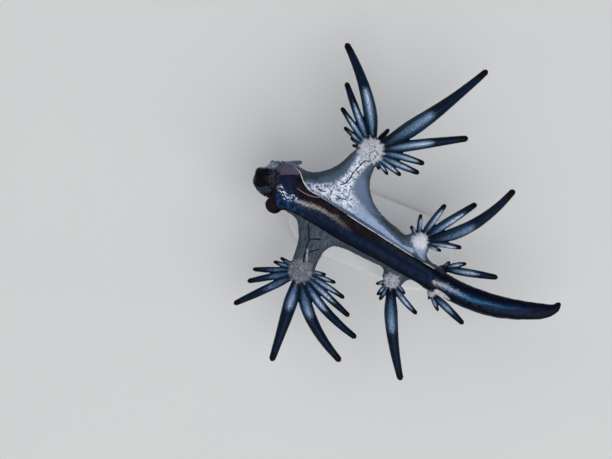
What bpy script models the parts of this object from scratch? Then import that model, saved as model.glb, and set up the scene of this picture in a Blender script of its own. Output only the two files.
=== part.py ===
"""A life-size blue dragon sea slug (Glaucus atlanticus) on a plain display stand.

The animal floats belly up, as it does in life. It lies along X with its head at -X. The foot (the sole)
faces +Z, and the animal's left side is at +Y. All sizes below are millimetres, measured from the origin
in the middle of the stand's underside. Heights of the animal are measured from its body axis, which is
BODY_HEIGHT above the floor. The finished meshes are scaled to metres.
"""

import math
from collections import namedtuple

import bmesh
import bpy
from mathutils import Matrix, Vector

# Driving dimensions

MM = 0.001
GAP = 0.3
BODY_HEIGHT = 8.8
BODY_SIDES = 20
ARM_SIDES = 14
RINGS_PER_STATION = 2
TOP_SQUARENESS = 3.0

# Body: middle of each cross-section, half width, reach to the belly side (up) and to the back (down),
# the roll that shows the left flank from above, and half the width of the foot that lies on it

Station = namedtuple("Station", "x y z half_width up down roll foot")

TRUNK = (
    Station(-14.95, 1.55, 0.45, 0.36, 0.30, 0.30, 5, 0.0),
    Station(-14.75, 1.58, 0.35, 0.78, 0.75, 0.80, 10, 0.0),
    Station(-14.20, 1.42, 0.20, 1.56, 1.05, 1.25, 15, 0.0),
    Station(-13.20, 1.42, 0.10, 2.13, 1.20, 1.65, 20, 0.0),
    Station(-12.20, 1.68, 0.00, 2.38, 1.30, 1.95, 22, 2.35),
    Station(-11.20, 1.65, 0.00, 2.55, 1.35, 2.10, 22, 2.95),
    Station(-10.20, 1.40, 0.00, 2.60, 1.35, 2.15, 22, 2.38),
    Station(-9.40, 1.25, 0.00, 2.65, 1.35, 2.20, 22, 1.95),
    Station(-8.60, 1.10, 0.00, 2.70, 1.35, 2.25, 22, 1.75),
    Station(-6.30, 0.75, 0.00, 2.75, 1.35, 2.30, 22, 1.68),
    Station(-2.50, 0.05, 0.00, 2.75, 1.35, 2.30, 22, 1.62),
    Station(0.90, -0.45, 0.00, 2.60, 1.30, 2.10, 22, 1.48),
    Station(3.00, -0.85, 0.00, 2.25, 1.20, 1.90, 20, 1.38),
    Station(5.20, -1.35, 0.00, 1.75, 1.10, 1.70, 17, 1.32),
    Station(6.80, -1.70, 0.00, 1.45, 1.05, 1.60, 13, 1.28),
    Station(8.70, -2.12, 0.00, 1.35, 1.00, 1.50, 10, 1.28),
)
TAIL = (
    Station(7.90, -2.05, 0.38, 1.40, 1.42, 1.66, 8, 0.0),
    Station(11.30, -2.51, 0.55, 1.31, 1.20, 1.45, 5, 0.0),
    Station(14.41, -2.55, 0.70, 1.33, 1.05, 1.30, 0, 0.0),
    Station(16.73, -2.27, 0.75, 1.27, 0.95, 1.15, 0, 0.0),
    Station(19.03, -1.71, 0.80, 1.12, 0.82, 0.98, 0, 0.0),
    Station(21.22, -0.99, 0.85, 0.92, 0.68, 0.78, 0, 0.0),
    Station(22.50, -0.24, 0.90, 0.62, 0.50, 0.54, 0, 0.0),
    Station(22.82, 0.42, 0.94, 0.36, 0.30, 0.30, 0, 0.0),
    Station(22.92, 0.76, 0.96, 0.17, 0.17, 0.17, 0, 0.0),
)
HEAD_END = -11.3
TORSO_SPLIT = 1.75
TRUNK_END = 8.2
TAIL_SPLITS = (13.2, 18.4)

# Foot: a thin sole on the trunk, with a rounded lobe at each front corner, whose middle is given along the
# body and out to the left

FOOT_START = -12.4
FOOT_SPLIT = -2.2
FOOT_THICK = 0.55
FOOT_EDGE = 0.28
FOOT_GROOVE = 0.07
FOOT_FRONT_EDGE = 0.3
FOOT_SINK = 0.2
FOOT_ACROSS = (-1.0, -0.86, -0.45, 0.0, 0.45, 0.86, 1.0)
FOOT_REST = 0.88

Lobe = namedtuple("Lobe", "x out radius thick")

LOBES = (Lobe(-11.75, 1.93, 1.03, 0.28), Lobe(-11.45, -2.46, 1.02, 0.30))

# Head: the dark mouth bulb, its slit and lips, and on each side an oral tentacle and a rhinophore.
# A feeler's ends are given along the body, out to the side, and up from the head's own axis, and it has
# a twin on the other side.

BULB_CENTRE = (-13.82, 1.55, 0.6)
BULB_SIZE = (1.2, 1.12, 1.12)
LIP_RADIUS = 0.42
LIP_THICK = 0.18
LIP_SINK = 0.16
LIP_SIDES = 14
SLIT_SIZE = (0.5, 0.15, 0.38)

Feeler = namedtuple("Feeler", "root tip root_radius tip_radius")

FEELER_SHOULDER = 0.88
FEELERS = {
    "oral_tentacle": Feeler((-13.4, 1.18, -0.9), (-13.45, 1.40, -2.05), 0.45, 0.26),
    "rhinophore": Feeler((-12.0, 1.6, -1.1), (-11.2, 2.3, -2.2), 0.52, 0.25),
}

# Arms: cross-sections from inside the body out to the wrist, all parallel to one heading in plan

Section = namedtuple("Section", "x y z half_width half_height")
Arm = namedtuple("Arm", "heading outward sections disc_centre disc_radius disc_height")

CORE_SHARE = 0.8
ARMS = {
    "front_left": Arm(-8, 1, (
        Section(-4.2, 0.9, 0.15, 5.2, 1.10),
        Section(-4.4, 2.5, 0.30, 5.2, 1.25),
        Section(-4.7, 3.8, 0.30, 3.7, 1.30),
        Section(-4.6, 5.0, 0.30, 2.5, 1.25),
        Section(-4.4, 6.3, 0.30, 1.85, 1.15),
        Section(-4.1, 7.6, 0.30, 1.55, 1.05),
    ), (-3.7, 8.8, 0.30), 1.6, 0.95),
    "front_right": Arm(-6, -1, (
        Section(-5.1, -0.7, -0.80, 3.4, 1.00),
        Section(-5.3, -1.8, -0.75, 3.2, 1.15),
        Section(-5.9, -2.7, -0.60, 2.3, 1.20),
        Section(-6.0, -3.7, -0.40, 1.70, 1.15),
        Section(-6.0, -4.8, -0.20, 1.50, 1.10),
        Section(-6.0, -5.9, 0.00, 1.40, 1.00),
    ), (-6.0, -7.0, 0.10), 1.5, 0.9),
    "middle_left": Arm(-22, 1, (
        Section(4.3, -1.2, 0.00, 2.6, 0.90),
        Section(4.7, -0.2, 0.10, 2.5, 1.00),
        Section(5.15, 0.55, 0.15, 1.7, 0.95),
    ), (5.45, 1.35, 0.20), 0.98, 0.80),
    "middle_right": Arm(-3, -1, (
        Section(4.6, -1.8, -0.60, 2.2, 0.85),
        Section(4.5, -2.6, -0.55, 2.1, 0.95),
        Section(4.3, -3.3, -0.35, 1.5, 0.90),
    ), (4.1, -4.15, -0.15), 0.95, 0.78),
    "rear_left": Arm(-10, 1, (
        Section(9.3, -2.0, -0.45, 0.65, 0.60),
        Section(9.2, -1.2, -0.70, 0.48, 0.50),
    ), (9.1, -0.65, -0.75), 0.45, 0.45),
    "rear_right": Arm(-10, -1, (
        Section(9.3, -2.4, -0.55, 0.70, 0.60),
        Section(9.15, -3.3, -0.75, 0.52, 0.52),
    ), (8.95, -3.75, -0.80), 0.48, 0.46),
}

# Cerata: the bearings of the root, middle and tip and the reach of the tip, seen from the middle of the
# disc, then the largest radius and how far the tip drops. They stand in one row round each disc, longest
# away from the body.

Ceras = namedtuple("Ceras", "root middle tip reach radius drop")

CERAS_ROOT_DEPTH = 0.45
CERAS_EARLY_DROP = 0.35
CERATA = {
    "front_left": (
        Ceras(186, 184, 184, 2.35, 0.27, 0.9),
        Ceras(175, 170, 168.5, 2.9, 0.28, 0.5),
        Ceras(154, 160, 160, 4.2, 0.34, 0.7),
        Ceras(139, 146, 146, 6.1, 0.40, 0.4),
        Ceras(125, 131.8, 131.6, 8.45, 0.50, 0.8),
        Ceras(101, 116.3, 124.9, 12.8, 0.82, 0.9),
        Ceras(76, 74, 72, 3.4, 0.36, 1.3),
        Ceras(44, 52.8, 56.7, 16.4, 1.02, 1.4),
        Ceras(26, 29.8, 29.5, 11.35, 0.67, 1.0),
        Ceras(12, 12, 8.5, 6.4, 0.47, 0.5),
        Ceras(353, 355.8, 357.5, 6.2, 0.45, 1.1),
        Ceras(341, 342, 343, 4.55, 0.37, 0.5),
        Ceras(328, 328, 328, 3.45, 0.31, 0.9),
        Ceras(319, 317, 316, 2.5, 0.26, 0.3),
    ),
    "front_right": (
        Ceras(166, 168, 169, 2.9, 0.28, 0.3),
        Ceras(178, 183, 183, 3.4, 0.32, 0.8),
        Ceras(194, 200, 200, 5.6, 0.38, 1.0),
        Ceras(212, 213, 213, 6.3, 0.42, 0.4),
        Ceras(238, 229.5, 228.3, 8.65, 0.50, 1.2),
        Ceras(267, 274.2, 274, 10.95, 0.84, 0.7),
        Ceras(302, 304.5, 315.8, 11.45, 0.77, 1.1),
        Ceras(319, 323.5, 331.6, 10.05, 0.56, 0.5),
        Ceras(333, 338, 338.8, 7.7, 0.46, 1.0),
        Ceras(350, 351.5, 350, 5.95, 0.38, 0.5),
        Ceras(2, 4, 3, 4.3, 0.33, 0.9),
        Ceras(15, 14, 13.5, 3.05, 0.30, 0.4),
    ),
    "middle_left": (
        Ceras(178, 175, 174, 1.55, 0.26, 0.7),
        Ceras(154, 147, 144, 2.15, 0.28, 0.5),
        Ceras(124, 116, 110.5, 3.15, 0.32, 0.4),
        Ceras(92, 80, 77.2, 5.15, 0.42, 0.6),
        Ceras(66, 56, 55.4, 7.8, 0.54, 0.8),
        Ceras(34, 38.5, 50.5, 12.4, 0.75, 1.2),
        Ceras(16, 13, 12.6, 4.85, 0.38, 0.5),
        Ceras(353, 355, 356.5, 2.75, 0.28, 0.8),
    ),
    "middle_right": (
        Ceras(208, 212, 213.5, 1.9, 0.28, 0.7),
        Ceras(234, 243, 247, 2.4, 0.30, 0.4),
        Ceras(256, 260, 260.5, 2.65, 0.32, 0.6),
        Ceras(292, 292.8, 297.5, 11.55, 0.81, 1.0),
        Ceras(318, 324, 329.5, 4.85, 0.39, 0.6),
        Ceras(344, 340, 338, 2.25, 0.30, 0.4),
    ),
    "rear_left": (
        Ceras(76, 70, 68, 1.25, 0.26, 0.0),
        Ceras(46, 37.5, 34.5, 2.8, 0.33, 0.2),
        Ceras(14, 13, 13, 6.4, 0.48, 0.0),
    ),
    "rear_right": (
        Ceras(262, 264, 264, 0.85, 0.26, 0.3),
        Ceras(300, 309, 312.3, 2.2, 0.29, 0.0),
        Ceras(338, 338.3, 338, 5.1, 0.46, 0.2),
    ),
}

# Girth of a ceras along its length, as a share of its largest radius, from the root to its blunt tip. A
# slim one keeps its girth, and a stout one tapers from a third of its length.

SLIM_GIRTH = ((0.0, 0.55), (0.14, 0.80), (0.30, 1.0), (0.50, 1.0), (0.72, 0.92))
STOUT_GIRTH = ((0.0, 0.50), (0.14, 0.74), (0.30, 1.0), (0.50, 0.83), (0.72, 0.56))
SLIM_TIP = 0.68
STOUT_TIP = 0.37
SLIM_RADIUS = 0.45
STOUTEST_RADIUS = 1.0
TIP_ROUNDING = ((1.0, 1.0), (0.3, 0.71))
RING_STEP = 0.04

# A ceras wider than STOUT_RADIUS has more sides

STOUT_RADIUS = 0.45
STOUT_SIDES = 8
SLIM_SIDES = 6

# Stand

BASE_LENGTH = 20.0
BASE_WIDTH = 9.0
BASE_THICK = 2.0
BASE_BEVEL = 0.35
BASE_CORNER_SIDES = 12
ROD_RADIUS = 0.7
ROD_SIDES = 14
ROD_X = (-6.0, 5.0)

# What is kept of a cut reaches this far past the animal, and corners nearer than WELD become one

FAR = 60.0
WELD = 0.0002
SHARP_ANGLE = 40

Finish = namedtuple("Finish", "colour roughness")

FINISHES = {
    "silver_skin": Finish((0.42, 0.52, 0.62), 0.32),
    "dark_skin": Finish((0.02, 0.035, 0.10), 0.28),
    "cerata_skin": Finish((0.06, 0.12, 0.24), 0.30),
    "stand_white": Finish((0.80, 0.80, 0.78), 0.35),
}


def empty_scene():
    """Removes whatever the scene holds."""
    for item in list(bpy.data.objects):
        bpy.data.objects.remove(item, do_unlink=True)


def make_finish(name):
    """A plain Principled material in the part's own colour."""
    finish = FINISHES[name]
    material = bpy.data.materials.new(name)
    material.use_nodes = True
    shader = material.node_tree.nodes["Principled BSDF"]
    shader.inputs["Base Color"].default_value = (*finish.colour, 1.0)
    shader.inputs["Roughness"].default_value = finish.roughness
    material.diffuse_color = (*finish.colour, 1.0)
    return material


def new_object(name, bm):
    """Turns a bmesh into an object of the scene, with its faces pointing out."""
    bmesh.ops.recalc_face_normals(bm, faces=bm.faces)
    mesh = bpy.data.meshes.new(name)
    bm.to_mesh(mesh)
    bm.free()
    item = bpy.data.objects.new(name, mesh)
    bpy.context.scene.collection.objects.link(item)
    return item


def remove(item):
    bpy.data.objects.remove(item, do_unlink=True)


def circle(count):
    """The angles of so many points evenly round a circle."""
    return [2 * math.pi * i / count for i in range(count)]


def loft(name, rings, tip=None):
    """A closed tube through rings of points, capped flat, or closed to the point tip at its far end."""
    bm = bmesh.new()
    loops = [[bm.verts.new(point) for point in ring] for ring in rings]
    count = len(loops[0])
    for near, far in zip(loops, loops[1:]):
        for i in range(count):
            j = (i + 1) % count
            bm.faces.new((near[i], near[j], far[j], far[i]))
    bm.faces.new(loops[0])
    if tip is None:
        bm.faces.new(loops[-1])
    else:
        point = bm.verts.new(tip)
        for i in range(count):
            bm.faces.new((loops[-1][i], loops[-1][(i + 1) % count], point))
    return new_object(name, bm)


def ellipsoid(name, centre, size, segments=16, rings=8):
    bm = bmesh.new()
    bmesh.ops.create_uvsphere(bm, u_segments=segments, v_segments=rings, radius=1.0)
    bmesh.ops.transform(bm, matrix=Matrix.LocRotScale(Vector(centre), None, Vector(size)), verts=bm.verts)
    return new_object(name, bm)


def box(name, low, high):
    bm = bmesh.new()
    bmesh.ops.create_cube(bm, size=1.0)
    low = Vector(low)
    high = Vector(high)
    bmesh.ops.transform(bm, matrix=Matrix.LocRotScale((low + high) / 2, None, high - low), verts=bm.verts)
    return new_object(name, bm)


def largest_body(bm):
    """Keeps only the connected surface that encloses the most."""
    unseen = set(bm.faces)
    bodies = []
    while unseen:
        body = []
        stack = [unseen.pop()]
        while stack:
            face = stack.pop()
            body.append(face)
            for edge in face.edges:
                for other in edge.link_faces:
                    if other in unseen:
                        unseen.remove(other)
                        stack.append(other)
        bodies.append(body)
    if len(bodies) > 1:
        bodies.sort(key=enclosed)
        scraps = [face for body in bodies[:-1] for face in body]
        bmesh.ops.delete(bm, geom=scraps, context="FACES")


def enclosed(faces):
    """Volume inside a closed set of faces."""
    total = 0.0
    for face in faces:
        corners = [vert.co for vert in face.verts]
        for b, c in zip(corners[1:], corners[2:]):
            total += corners[0].dot(b.cross(c)) / 6.0
    return total


def combine(item, others, operation):
    """Joins others to item, or cuts them from it, in one Boolean, and keeps the largest closed body."""
    tools = bpy.data.collections.new("tools")
    bpy.context.scene.collection.children.link(tools)
    for other in others:
        tools.objects.link(other)
    modifier = item.modifiers.new("combine", "BOOLEAN")
    modifier.operand_type = "COLLECTION"
    modifier.collection = tools
    modifier.operation = operation
    modifier.solver = "EXACT"
    graph = bpy.context.evaluated_depsgraph_get()
    mesh = bpy.data.meshes.new_from_object(item.evaluated_get(graph))
    item.modifiers.clear()
    item.data = mesh
    for other in others:
        remove(other)
    bpy.data.collections.remove(tools)
    bm = bmesh.new()
    bm.from_mesh(mesh)
    bmesh.ops.remove_doubles(bm, verts=bm.verts, dist=WELD)
    largest_body(bm)
    bm.to_mesh(mesh)
    bm.free()
    return item


def between(name, item, low_x, high_x):
    """The stretch of item from low_x to high_x, as a new object."""
    twin = bpy.data.objects.new(name, item.data.copy())
    bpy.context.scene.collection.objects.link(twin)
    slab = box("slab", (low_x, -FAR, -FAR), (high_x, FAR, FAR))
    return combine(twin, [slab], "INTERSECT")


def blend(t, before, start, end, after):
    """A smooth curve's value at t, from start at 0 to end at 1."""
    square = 2 * before - 5 * start + 4 * end - after
    cube = 3 * start - before - 3 * end + after
    return start + (t * (end - before) + t**2 * square + t**3 * cube) / 2


def catmull_rom(keys, steps):
    """Stations on a smooth curve through the keys, with steps spans from each key to the next."""
    kind = type(keys[0])
    found = []
    for i in range(len(keys) - 1):
        a = keys[max(i - 1, 0)]
        b = keys[i]
        c = keys[i + 1]
        d = keys[min(i + 2, len(keys) - 1)]
        for step in range(steps):
            found.append(kind(*(blend(step / steps, *values) for values in zip(a, b, c, d))))
    found.append(keys[-1])
    return found


def body_frames(stations):
    """For each station its centre and the directions to the animal's left and its belly side."""
    centres = [Vector((s.x, s.y, s.z + BODY_HEIGHT)) for s in stations]
    frames = []
    for i, station in enumerate(stations):
        along = (centres[min(i + 1, len(centres) - 1)] - centres[max(i - 1, 0)]).normalized()
        left = Vector((0, 0, 1)).cross(along).normalized()
        rise = along.cross(left)
        roll = math.radians(station.roll)
        frames.append((
            centres[i],
            left * math.cos(roll) + rise * math.sin(roll),
            rise * math.cos(roll) - left * math.sin(roll),
        ))
    return frames


def power(value, exponent):
    return math.copysign(abs(value) ** exponent, value)


def body_ring(station, frame, grow):
    """Cross-section of the body: a flattened belly side that carries the foot, and a round back."""
    centre, left, rise = frame
    ring = []
    for i in range(BODY_SIDES):
        angle = 2 * math.pi * (i + 0.5) / BODY_SIDES
        exponent = 2 / TOP_SQUARENESS if math.sin(angle) > 0 else 1.0
        reach = station.up if math.sin(angle) > 0 else station.down
        across = (station.half_width + grow) * power(math.cos(angle), exponent)
        height = (reach + grow) * power(math.sin(angle), exponent)
        ring.append(centre + left * across + rise * height)
    return ring


def body_loft(name, keys, grow=0.0):
    """A length of the body. With grow it is that much larger all round."""
    stations = catmull_rom(keys, RINGS_PER_STATION)
    frames = body_frames(stations)
    rings = [body_ring(s, f, grow) for s, f in zip(stations, frames)]
    return loft(name, rings)


def belly_height(station, across):
    """Height of the trunk's belly side above its axis, at this distance from the midline."""
    share = min(abs(across) / station.half_width, FOOT_REST)
    return station.up * (1 - share**TOP_SQUARENESS) ** (1 / TOP_SQUARENESS)


def foot_ring(station, frame, full):
    """Cross-section of the foot, sunk a little into the room that is later cut for the trunk."""
    centre, left, rise = frame
    top = []
    under = []
    for share in FOOT_ACROSS:
        across = share * station.foot
        seat = belly_height(station, across) + GAP
        thick = FOOT_EDGE if abs(share) == 1.0 else full
        if share == 0.0:
            thick -= FOOT_GROOVE
        top.append(centre + left * across + rise * (seat + thick))
        under.append(centre + left * across + rise * (seat - FOOT_SINK))
    return top + under[::-1]


def make_lobe(lobe, stations, frames):
    i = min(range(len(stations)), key=lambda n: abs(stations[n].x - lobe.x))
    centre, left, rise = frames[i]
    seat = belly_height(stations[i], lobe.out) + GAP + lobe.thick
    item = ellipsoid("lobe", (0, 0, 0), (lobe.radius, lobe.radius, lobe.thick))
    turn = Matrix((left.cross(rise), left, rise)).transposed().to_4x4()
    item.data.transform(Matrix.Translation(centre + left * lobe.out + rise * seat) @ turn)
    return item


def make_foot():
    """The sole with its two front lobes, cut to lie on the trunk and parted across the middle."""
    stations = [s for s in catmull_rom(TRUNK, RINGS_PER_STATION) if s.x >= FOOT_START]
    frames = body_frames(stations)
    depths = [FOOT_FRONT_EDGE] + [FOOT_THICK] * (len(stations) - 1)
    sole = loft("sole", [foot_ring(s, f, depth) for s, f, depth in zip(stations, frames, depths)])
    combine(sole, [make_lobe(lobe, stations, frames) for lobe in LOBES], "UNION")
    combine(sole, [body_loft("grown", TRUNK, GAP)], "DIFFERENCE")
    foot = {
        "foot_front": between("foot_front", sole, -FAR, FOOT_SPLIT - GAP / 2),
        "foot_rear": between("foot_rear", sole, FOOT_SPLIT + GAP / 2, TRUNK_END - GAP / 2),
    }
    remove(sole)
    return foot


def arm_ring(arm, section, grow=0.0):
    """Oval cross-section of an arm."""
    heading = math.radians(arm.heading)
    across = Vector((math.cos(heading), math.sin(heading), 0))
    centre = Vector((section.x, section.y, section.z + BODY_HEIGHT))
    ring = []
    for angle in circle(ARM_SIDES):
        wide = (section.half_width + grow) * math.cos(angle)
        high = (section.half_height + grow) * math.sin(angle)
        ring.append(centre + across * wide + Vector((0, 0, high)))
    return ring


def arm_loft(name, sections, arm, grow=0.0):
    """A length of an arm through these sections. With grow it is that much larger all round."""
    return loft(name, [arm_ring(arm, section, grow) for section in sections])


def mix(a, b, share):
    return a + (b - a) * share


def girths(ceras, length):
    """Radii of a ceras, each with the share of its length where it has it, up to its round tip."""
    stoutness = min(max((ceras.radius - SLIM_RADIUS) / (STOUTEST_RADIUS - SLIM_RADIUS), 0), 1)
    end = ceras.radius * mix(SLIM_TIP, STOUT_TIP, stoutness)
    found = []
    for (share, slim), (_, stout) in zip(SLIM_GIRTH, STOUT_GIRTH):
        if share < 1 - end / length - RING_STEP:
            found.append((share, ceras.radius * mix(slim, stout, stoutness)))
    return found + [(1 - back * end / length, end * girth) for back, girth in TIP_ROUNDING]


def bearing(degrees):
    return Vector((math.cos(math.radians(degrees)), math.sin(math.radians(degrees)), 0))


def ceras_path(arm, ceras):
    """Root, control point and tip of the curve that a ceras follows through its middle."""
    centre = Vector(arm.disc_centre) + Vector((0, 0, BODY_HEIGHT))
    root = centre + bearing(ceras.root) * arm.disc_radius * CERAS_ROOT_DEPTH
    drop = Vector((0, 0, -ceras.drop))
    middle = centre + bearing(ceras.middle) * ceras.reach / 2 + drop * CERAS_EARLY_DROP
    tip = centre + bearing(ceras.tip) * ceras.reach + drop
    return root, middle * 2 - (root + tip) / 2, tip


def make_ceras(arm, ceras):
    """One ceras: a curved spindle, slim at the root, fullest at a third of its length, round at the tip."""
    root, bend, tip = ceras_path(arm, ceras)
    sides = STOUT_SIDES if ceras.radius > STOUT_RADIUS else SLIM_SIDES
    rings = []
    for share, radius in girths(ceras, (tip - root).length):
        point = root * (1 - share) ** 2 + bend * 2 * share * (1 - share) + tip * share**2
        along = ((bend - root) * (1 - share) + (tip - bend) * share).normalized()
        across = Vector((0, 0, 1)).cross(along).normalized()
        rise = along.cross(across)
        rings.append([
            point + (across * math.cos(a) + rise * math.sin(a)) * radius
            for a in circle(sides)
        ])
    return loft("ceras", rings, tip)


def moved_out(arm, section, distance):
    """The section moved along its arm, away from the body."""
    heading = math.radians(arm.heading)
    return section._replace(
        x=section.x - math.sin(heading) * arm.outward * distance,
        y=section.y + math.cos(heading) * arm.outward * distance,
    )


def make_fan(name, arm, cerata, wrist):
    """The disc at an arm's end with its row of cerata, on the sections of wrist that hold it."""
    disc = ellipsoid(name, (0, 0, 0), (arm.disc_radius, arm.disc_radius, arm.disc_height))
    disc.data.transform(Matrix.Translation(Vector(arm.disc_centre) + Vector((0, 0, BODY_HEIGHT))))
    last = arm.sections[-1]
    core = Section(*arm.disc_centre, last.half_width * CORE_SHARE, last.half_height * CORE_SHARE)
    pieces = [arm_loft("wrist", wrist + (core,), arm)]
    pieces += [make_ceras(arm, ceras) for ceras in cerata]
    return combine(disc, pieces, "UNION")


def make_arms_and_fans():
    """Each arm, cut to the body it stands on. The long front pair's fans are nodes of their own."""
    nodes = {}
    for name, arm in ARMS.items():
        if not name.startswith("front"):
            fan = make_fan(f"arm_{name}", arm, CERATA[name], arm.sections)
            body = TRUNK if name.startswith("middle") else TAIL
            nodes[f"arm_{name}"] = combine(fan, [body_loft("grown", body, GAP)], "DIFFERENCE")
            continue
        whole = arm_loft(f"arm_{name}", arm.sections, arm)
        nodes[f"arm_{name}"] = combine(whole, [body_loft("grown", TRUNK, GAP)], "DIFFERENCE")
        wrist = (moved_out(arm, arm.sections[-1], GAP),)
        fan = make_fan(f"cerata_{name}", arm, CERATA[name], wrist)
        end = arm_loft("end", arm.sections[-2:-1] + wrist, arm, GAP)
        nodes[f"cerata_{name}"] = combine(fan, [end], "DIFFERENCE")
    return nodes


def make_body():
    """Head, torso and tail, parted by cuts as wide as the gap."""
    trunk = body_loft("trunk", TRUNK)
    bulb = ellipsoid("bulb", Vector(BULB_CENTRE) + Vector((0, 0, BODY_HEIGHT)), BULB_SIZE)
    combine(trunk, [bulb, make_lips()], "UNION")
    slit = ellipsoid("slit", mouth_point(), SLIT_SIZE, 12, 6)
    combine(trunk, [slit], "DIFFERENCE")
    tail = body_loft("tail", TAIL)
    half = GAP / 2
    low, high = TAIL_SPLITS
    nodes = {
        "head": between("head", trunk, -FAR, HEAD_END - half),
        "torso_front": between("torso_front", trunk, HEAD_END + half, TORSO_SPLIT - half),
        "torso_rear": between("torso_rear", trunk, TORSO_SPLIT + half, TRUNK_END - half),
        "tail_front": between("tail_front", tail, TRUNK_END + half, low - half),
        "tail_middle": between("tail_middle", tail, low + half, high - half),
        "tail_tip": between("tail_tip", tail, high + half, FAR),
    }
    remove(trunk)
    remove(tail)
    return nodes


def mouth_point():
    """The front of the mouth bulb."""
    return Vector(BULB_CENTRE) + Vector((-BULB_SIZE[0], 0, BODY_HEIGHT))


def make_lips():
    """A low ring of lip round the mouth."""
    ahead = Vector((-1, 0, 0))
    centre = mouth_point() - ahead * LIP_SINK
    bm = bmesh.new()
    loops = []
    for a in circle(LIP_SIDES):
        out = Vector((0, math.cos(a), math.sin(a)))
        core = centre + out * LIP_RADIUS
        loops.append([
            bm.verts.new(core + (out * math.cos(b) + ahead * math.sin(b)) * LIP_THICK)
            for b in circle(SLIM_SIDES)
        ])
    for near, far in zip(loops, loops[1:] + loops[:1]):
        for j in range(SLIM_SIDES):
            k = (j + 1) % SLIM_SIDES
            bm.faces.new((near[j], near[k], far[k], far[j]))
    return new_object("lips", bm)


def head_point(along, out, up):
    """A point given from the head's axis: along the body, out to the left and up towards the belly side."""
    stations = catmull_rom(TRUNK, RINGS_PER_STATION)
    i = min(range(len(stations)), key=lambda n: abs(stations[n].x - along))
    centre, left, rise = body_frames(stations)[i]
    return centre + Vector((along - stations[i].x, 0, 0)) + left * out + rise * up


def make_feelers():
    """Oral tentacles and rhinophores: short blunt cones cut to sit on the head."""
    nodes = {}
    for kind, feeler in FEELERS.items():
        for side, turn in (("left", 1), ("right", -1)):
            root, tip = (head_point(x, out * turn, up) for x, out, up in (feeler.root, feeler.tip))
            along = (tip - root).normalized()
            across = Vector((1, 0, 0)).cross(along).normalized()
            rise = along.cross(across)
            rings = []
            for share, radius in ((0.0, feeler.root_radius), (FEELER_SHOULDER, feeler.tip_radius)):
                rings.append([
                    root.lerp(tip, share) + (across * math.cos(a) + rise * math.sin(a)) * radius
                    for a in circle(STOUT_SIDES)
                ])
            cone = loft(f"{kind}_{side}", rings, tip)
            grown = body_loft("grown", TRUNK, GAP)
            nodes[f"{kind}_{side}"] = combine(cone, [grown], "DIFFERENCE")
    return nodes


def make_stand():
    """A flat base with round ends, and two rods whose tops are cut to the animal's back."""
    bm = bmesh.new()
    straight = (BASE_LENGTH - BASE_WIDTH) / 2
    outline = []
    for i in range(2 * BASE_CORNER_SIDES):
        end = 1 if i < BASE_CORNER_SIDES else -1
        angle = math.pi * (i % BASE_CORNER_SIDES) / (BASE_CORNER_SIDES - 1) - math.pi / 2
        x = end * (straight + BASE_WIDTH / 2 * math.cos(angle))
        y = end * BASE_WIDTH / 2 * math.sin(angle)
        outline.append(bm.verts.new((x, y, 0)))
    face = bm.faces.new(outline)
    raised = bmesh.ops.extrude_face_region(bm, geom=[face])
    verts = [item for item in raised["geom"] if isinstance(item, bmesh.types.BMVert)]
    bmesh.ops.translate(bm, verts=verts, vec=(0, 0, BASE_THICK))
    rim = [edge for edge in bm.edges if all(vert in verts for vert in edge.verts)]
    bmesh.ops.bevel(bm, geom=rim, offset=BASE_BEVEL, segments=2, profile=0.5, affect="EDGES")
    nodes = {"stand_base": new_object("stand_base", bm)}
    for name, x in zip(("stand_rod_front", "stand_rod_rear"), ROD_X):
        foot = Vector((x, axis_y(x), 0))
        rings = [
            [foot + bearing(math.degrees(a)) * ROD_RADIUS + Vector((0, 0, z)) for a in circle(ROD_SIDES)]
            for z in (BASE_THICK + GAP, BODY_HEIGHT)
        ]
        rod = loft(name, rings)
        nodes[name] = combine(rod, [body_loft("grown", TRUNK, GAP)], "DIFFERENCE")
    return nodes


def axis_y(x):
    """Where the trunk's axis is in plan, at this x."""
    for a, b in zip(TRUNK, TRUNK[1:]):
        if a.x <= x <= b.x:
            return a.y + (b.y - a.y) * (x - a.x) / (b.x - a.x)
    raise ValueError(f"the trunk doesn't reach x = {x}")


def finish_of(name):
    if name.startswith("stand"):
        return "stand_white"
    if name.startswith(("foot", "tail", "head", "oral")):
        return "dark_skin"
    if name.startswith("cerata") or name.startswith("arm_rear"):
        return "cerata_skin"
    return "silver_skin"


def triangulate(mesh):
    """Parts every face by its shape alone, so that each run gives the same solid."""
    bm = bmesh.new()
    bm.from_mesh(mesh)
    bmesh.ops.triangulate(bm, faces=bm.faces, quad_method="SHORT_EDGE", ngon_method="BEAUTY")
    bm.to_mesh(mesh)
    bm.free()


def place(name, item, materials, root):
    """Scales a finished node to metres, puts its origin at its middle and hangs it on the root."""
    item.name = name
    item.data.name = name
    triangulate(item.data)
    item.data.transform(Matrix.Scale(MM, 4))
    low = Vector(min(v.co[i] for v in item.data.vertices) for i in range(3))
    high = Vector(max(v.co[i] for v in item.data.vertices) for i in range(3))
    middle = (low + high) / 2
    item.data.transform(Matrix.Translation(-middle))
    item.location = middle
    item.parent = root
    item.data.materials.clear()
    item.data.materials.append(materials[finish_of(name)])
    item.data.shade_smooth()
    item.data.set_sharp_from_angle(angle=math.radians(SHARP_ANGLE))


def main():
    empty_scene()
    materials = {name: make_finish(name) for name in FINISHES}
    root = bpy.data.objects.new("blue_dragon", None)
    bpy.context.scene.collection.objects.link(root)
    nodes = {**make_body(), **make_foot(), **make_feelers(), **make_arms_and_fans(), **make_stand()}
    for name, item in nodes.items():
        place(name, item, materials, root)


if __name__ == "__main__":
    main()
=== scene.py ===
"""Dresses the blue dragon sea slug: one wet skin over its flesh, a stand, floor, light and camera."""

import math
from collections import namedtuple

import bmesh
import bpy
import numpy as np
from mathutils import Matrix, Vector, noise


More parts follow.
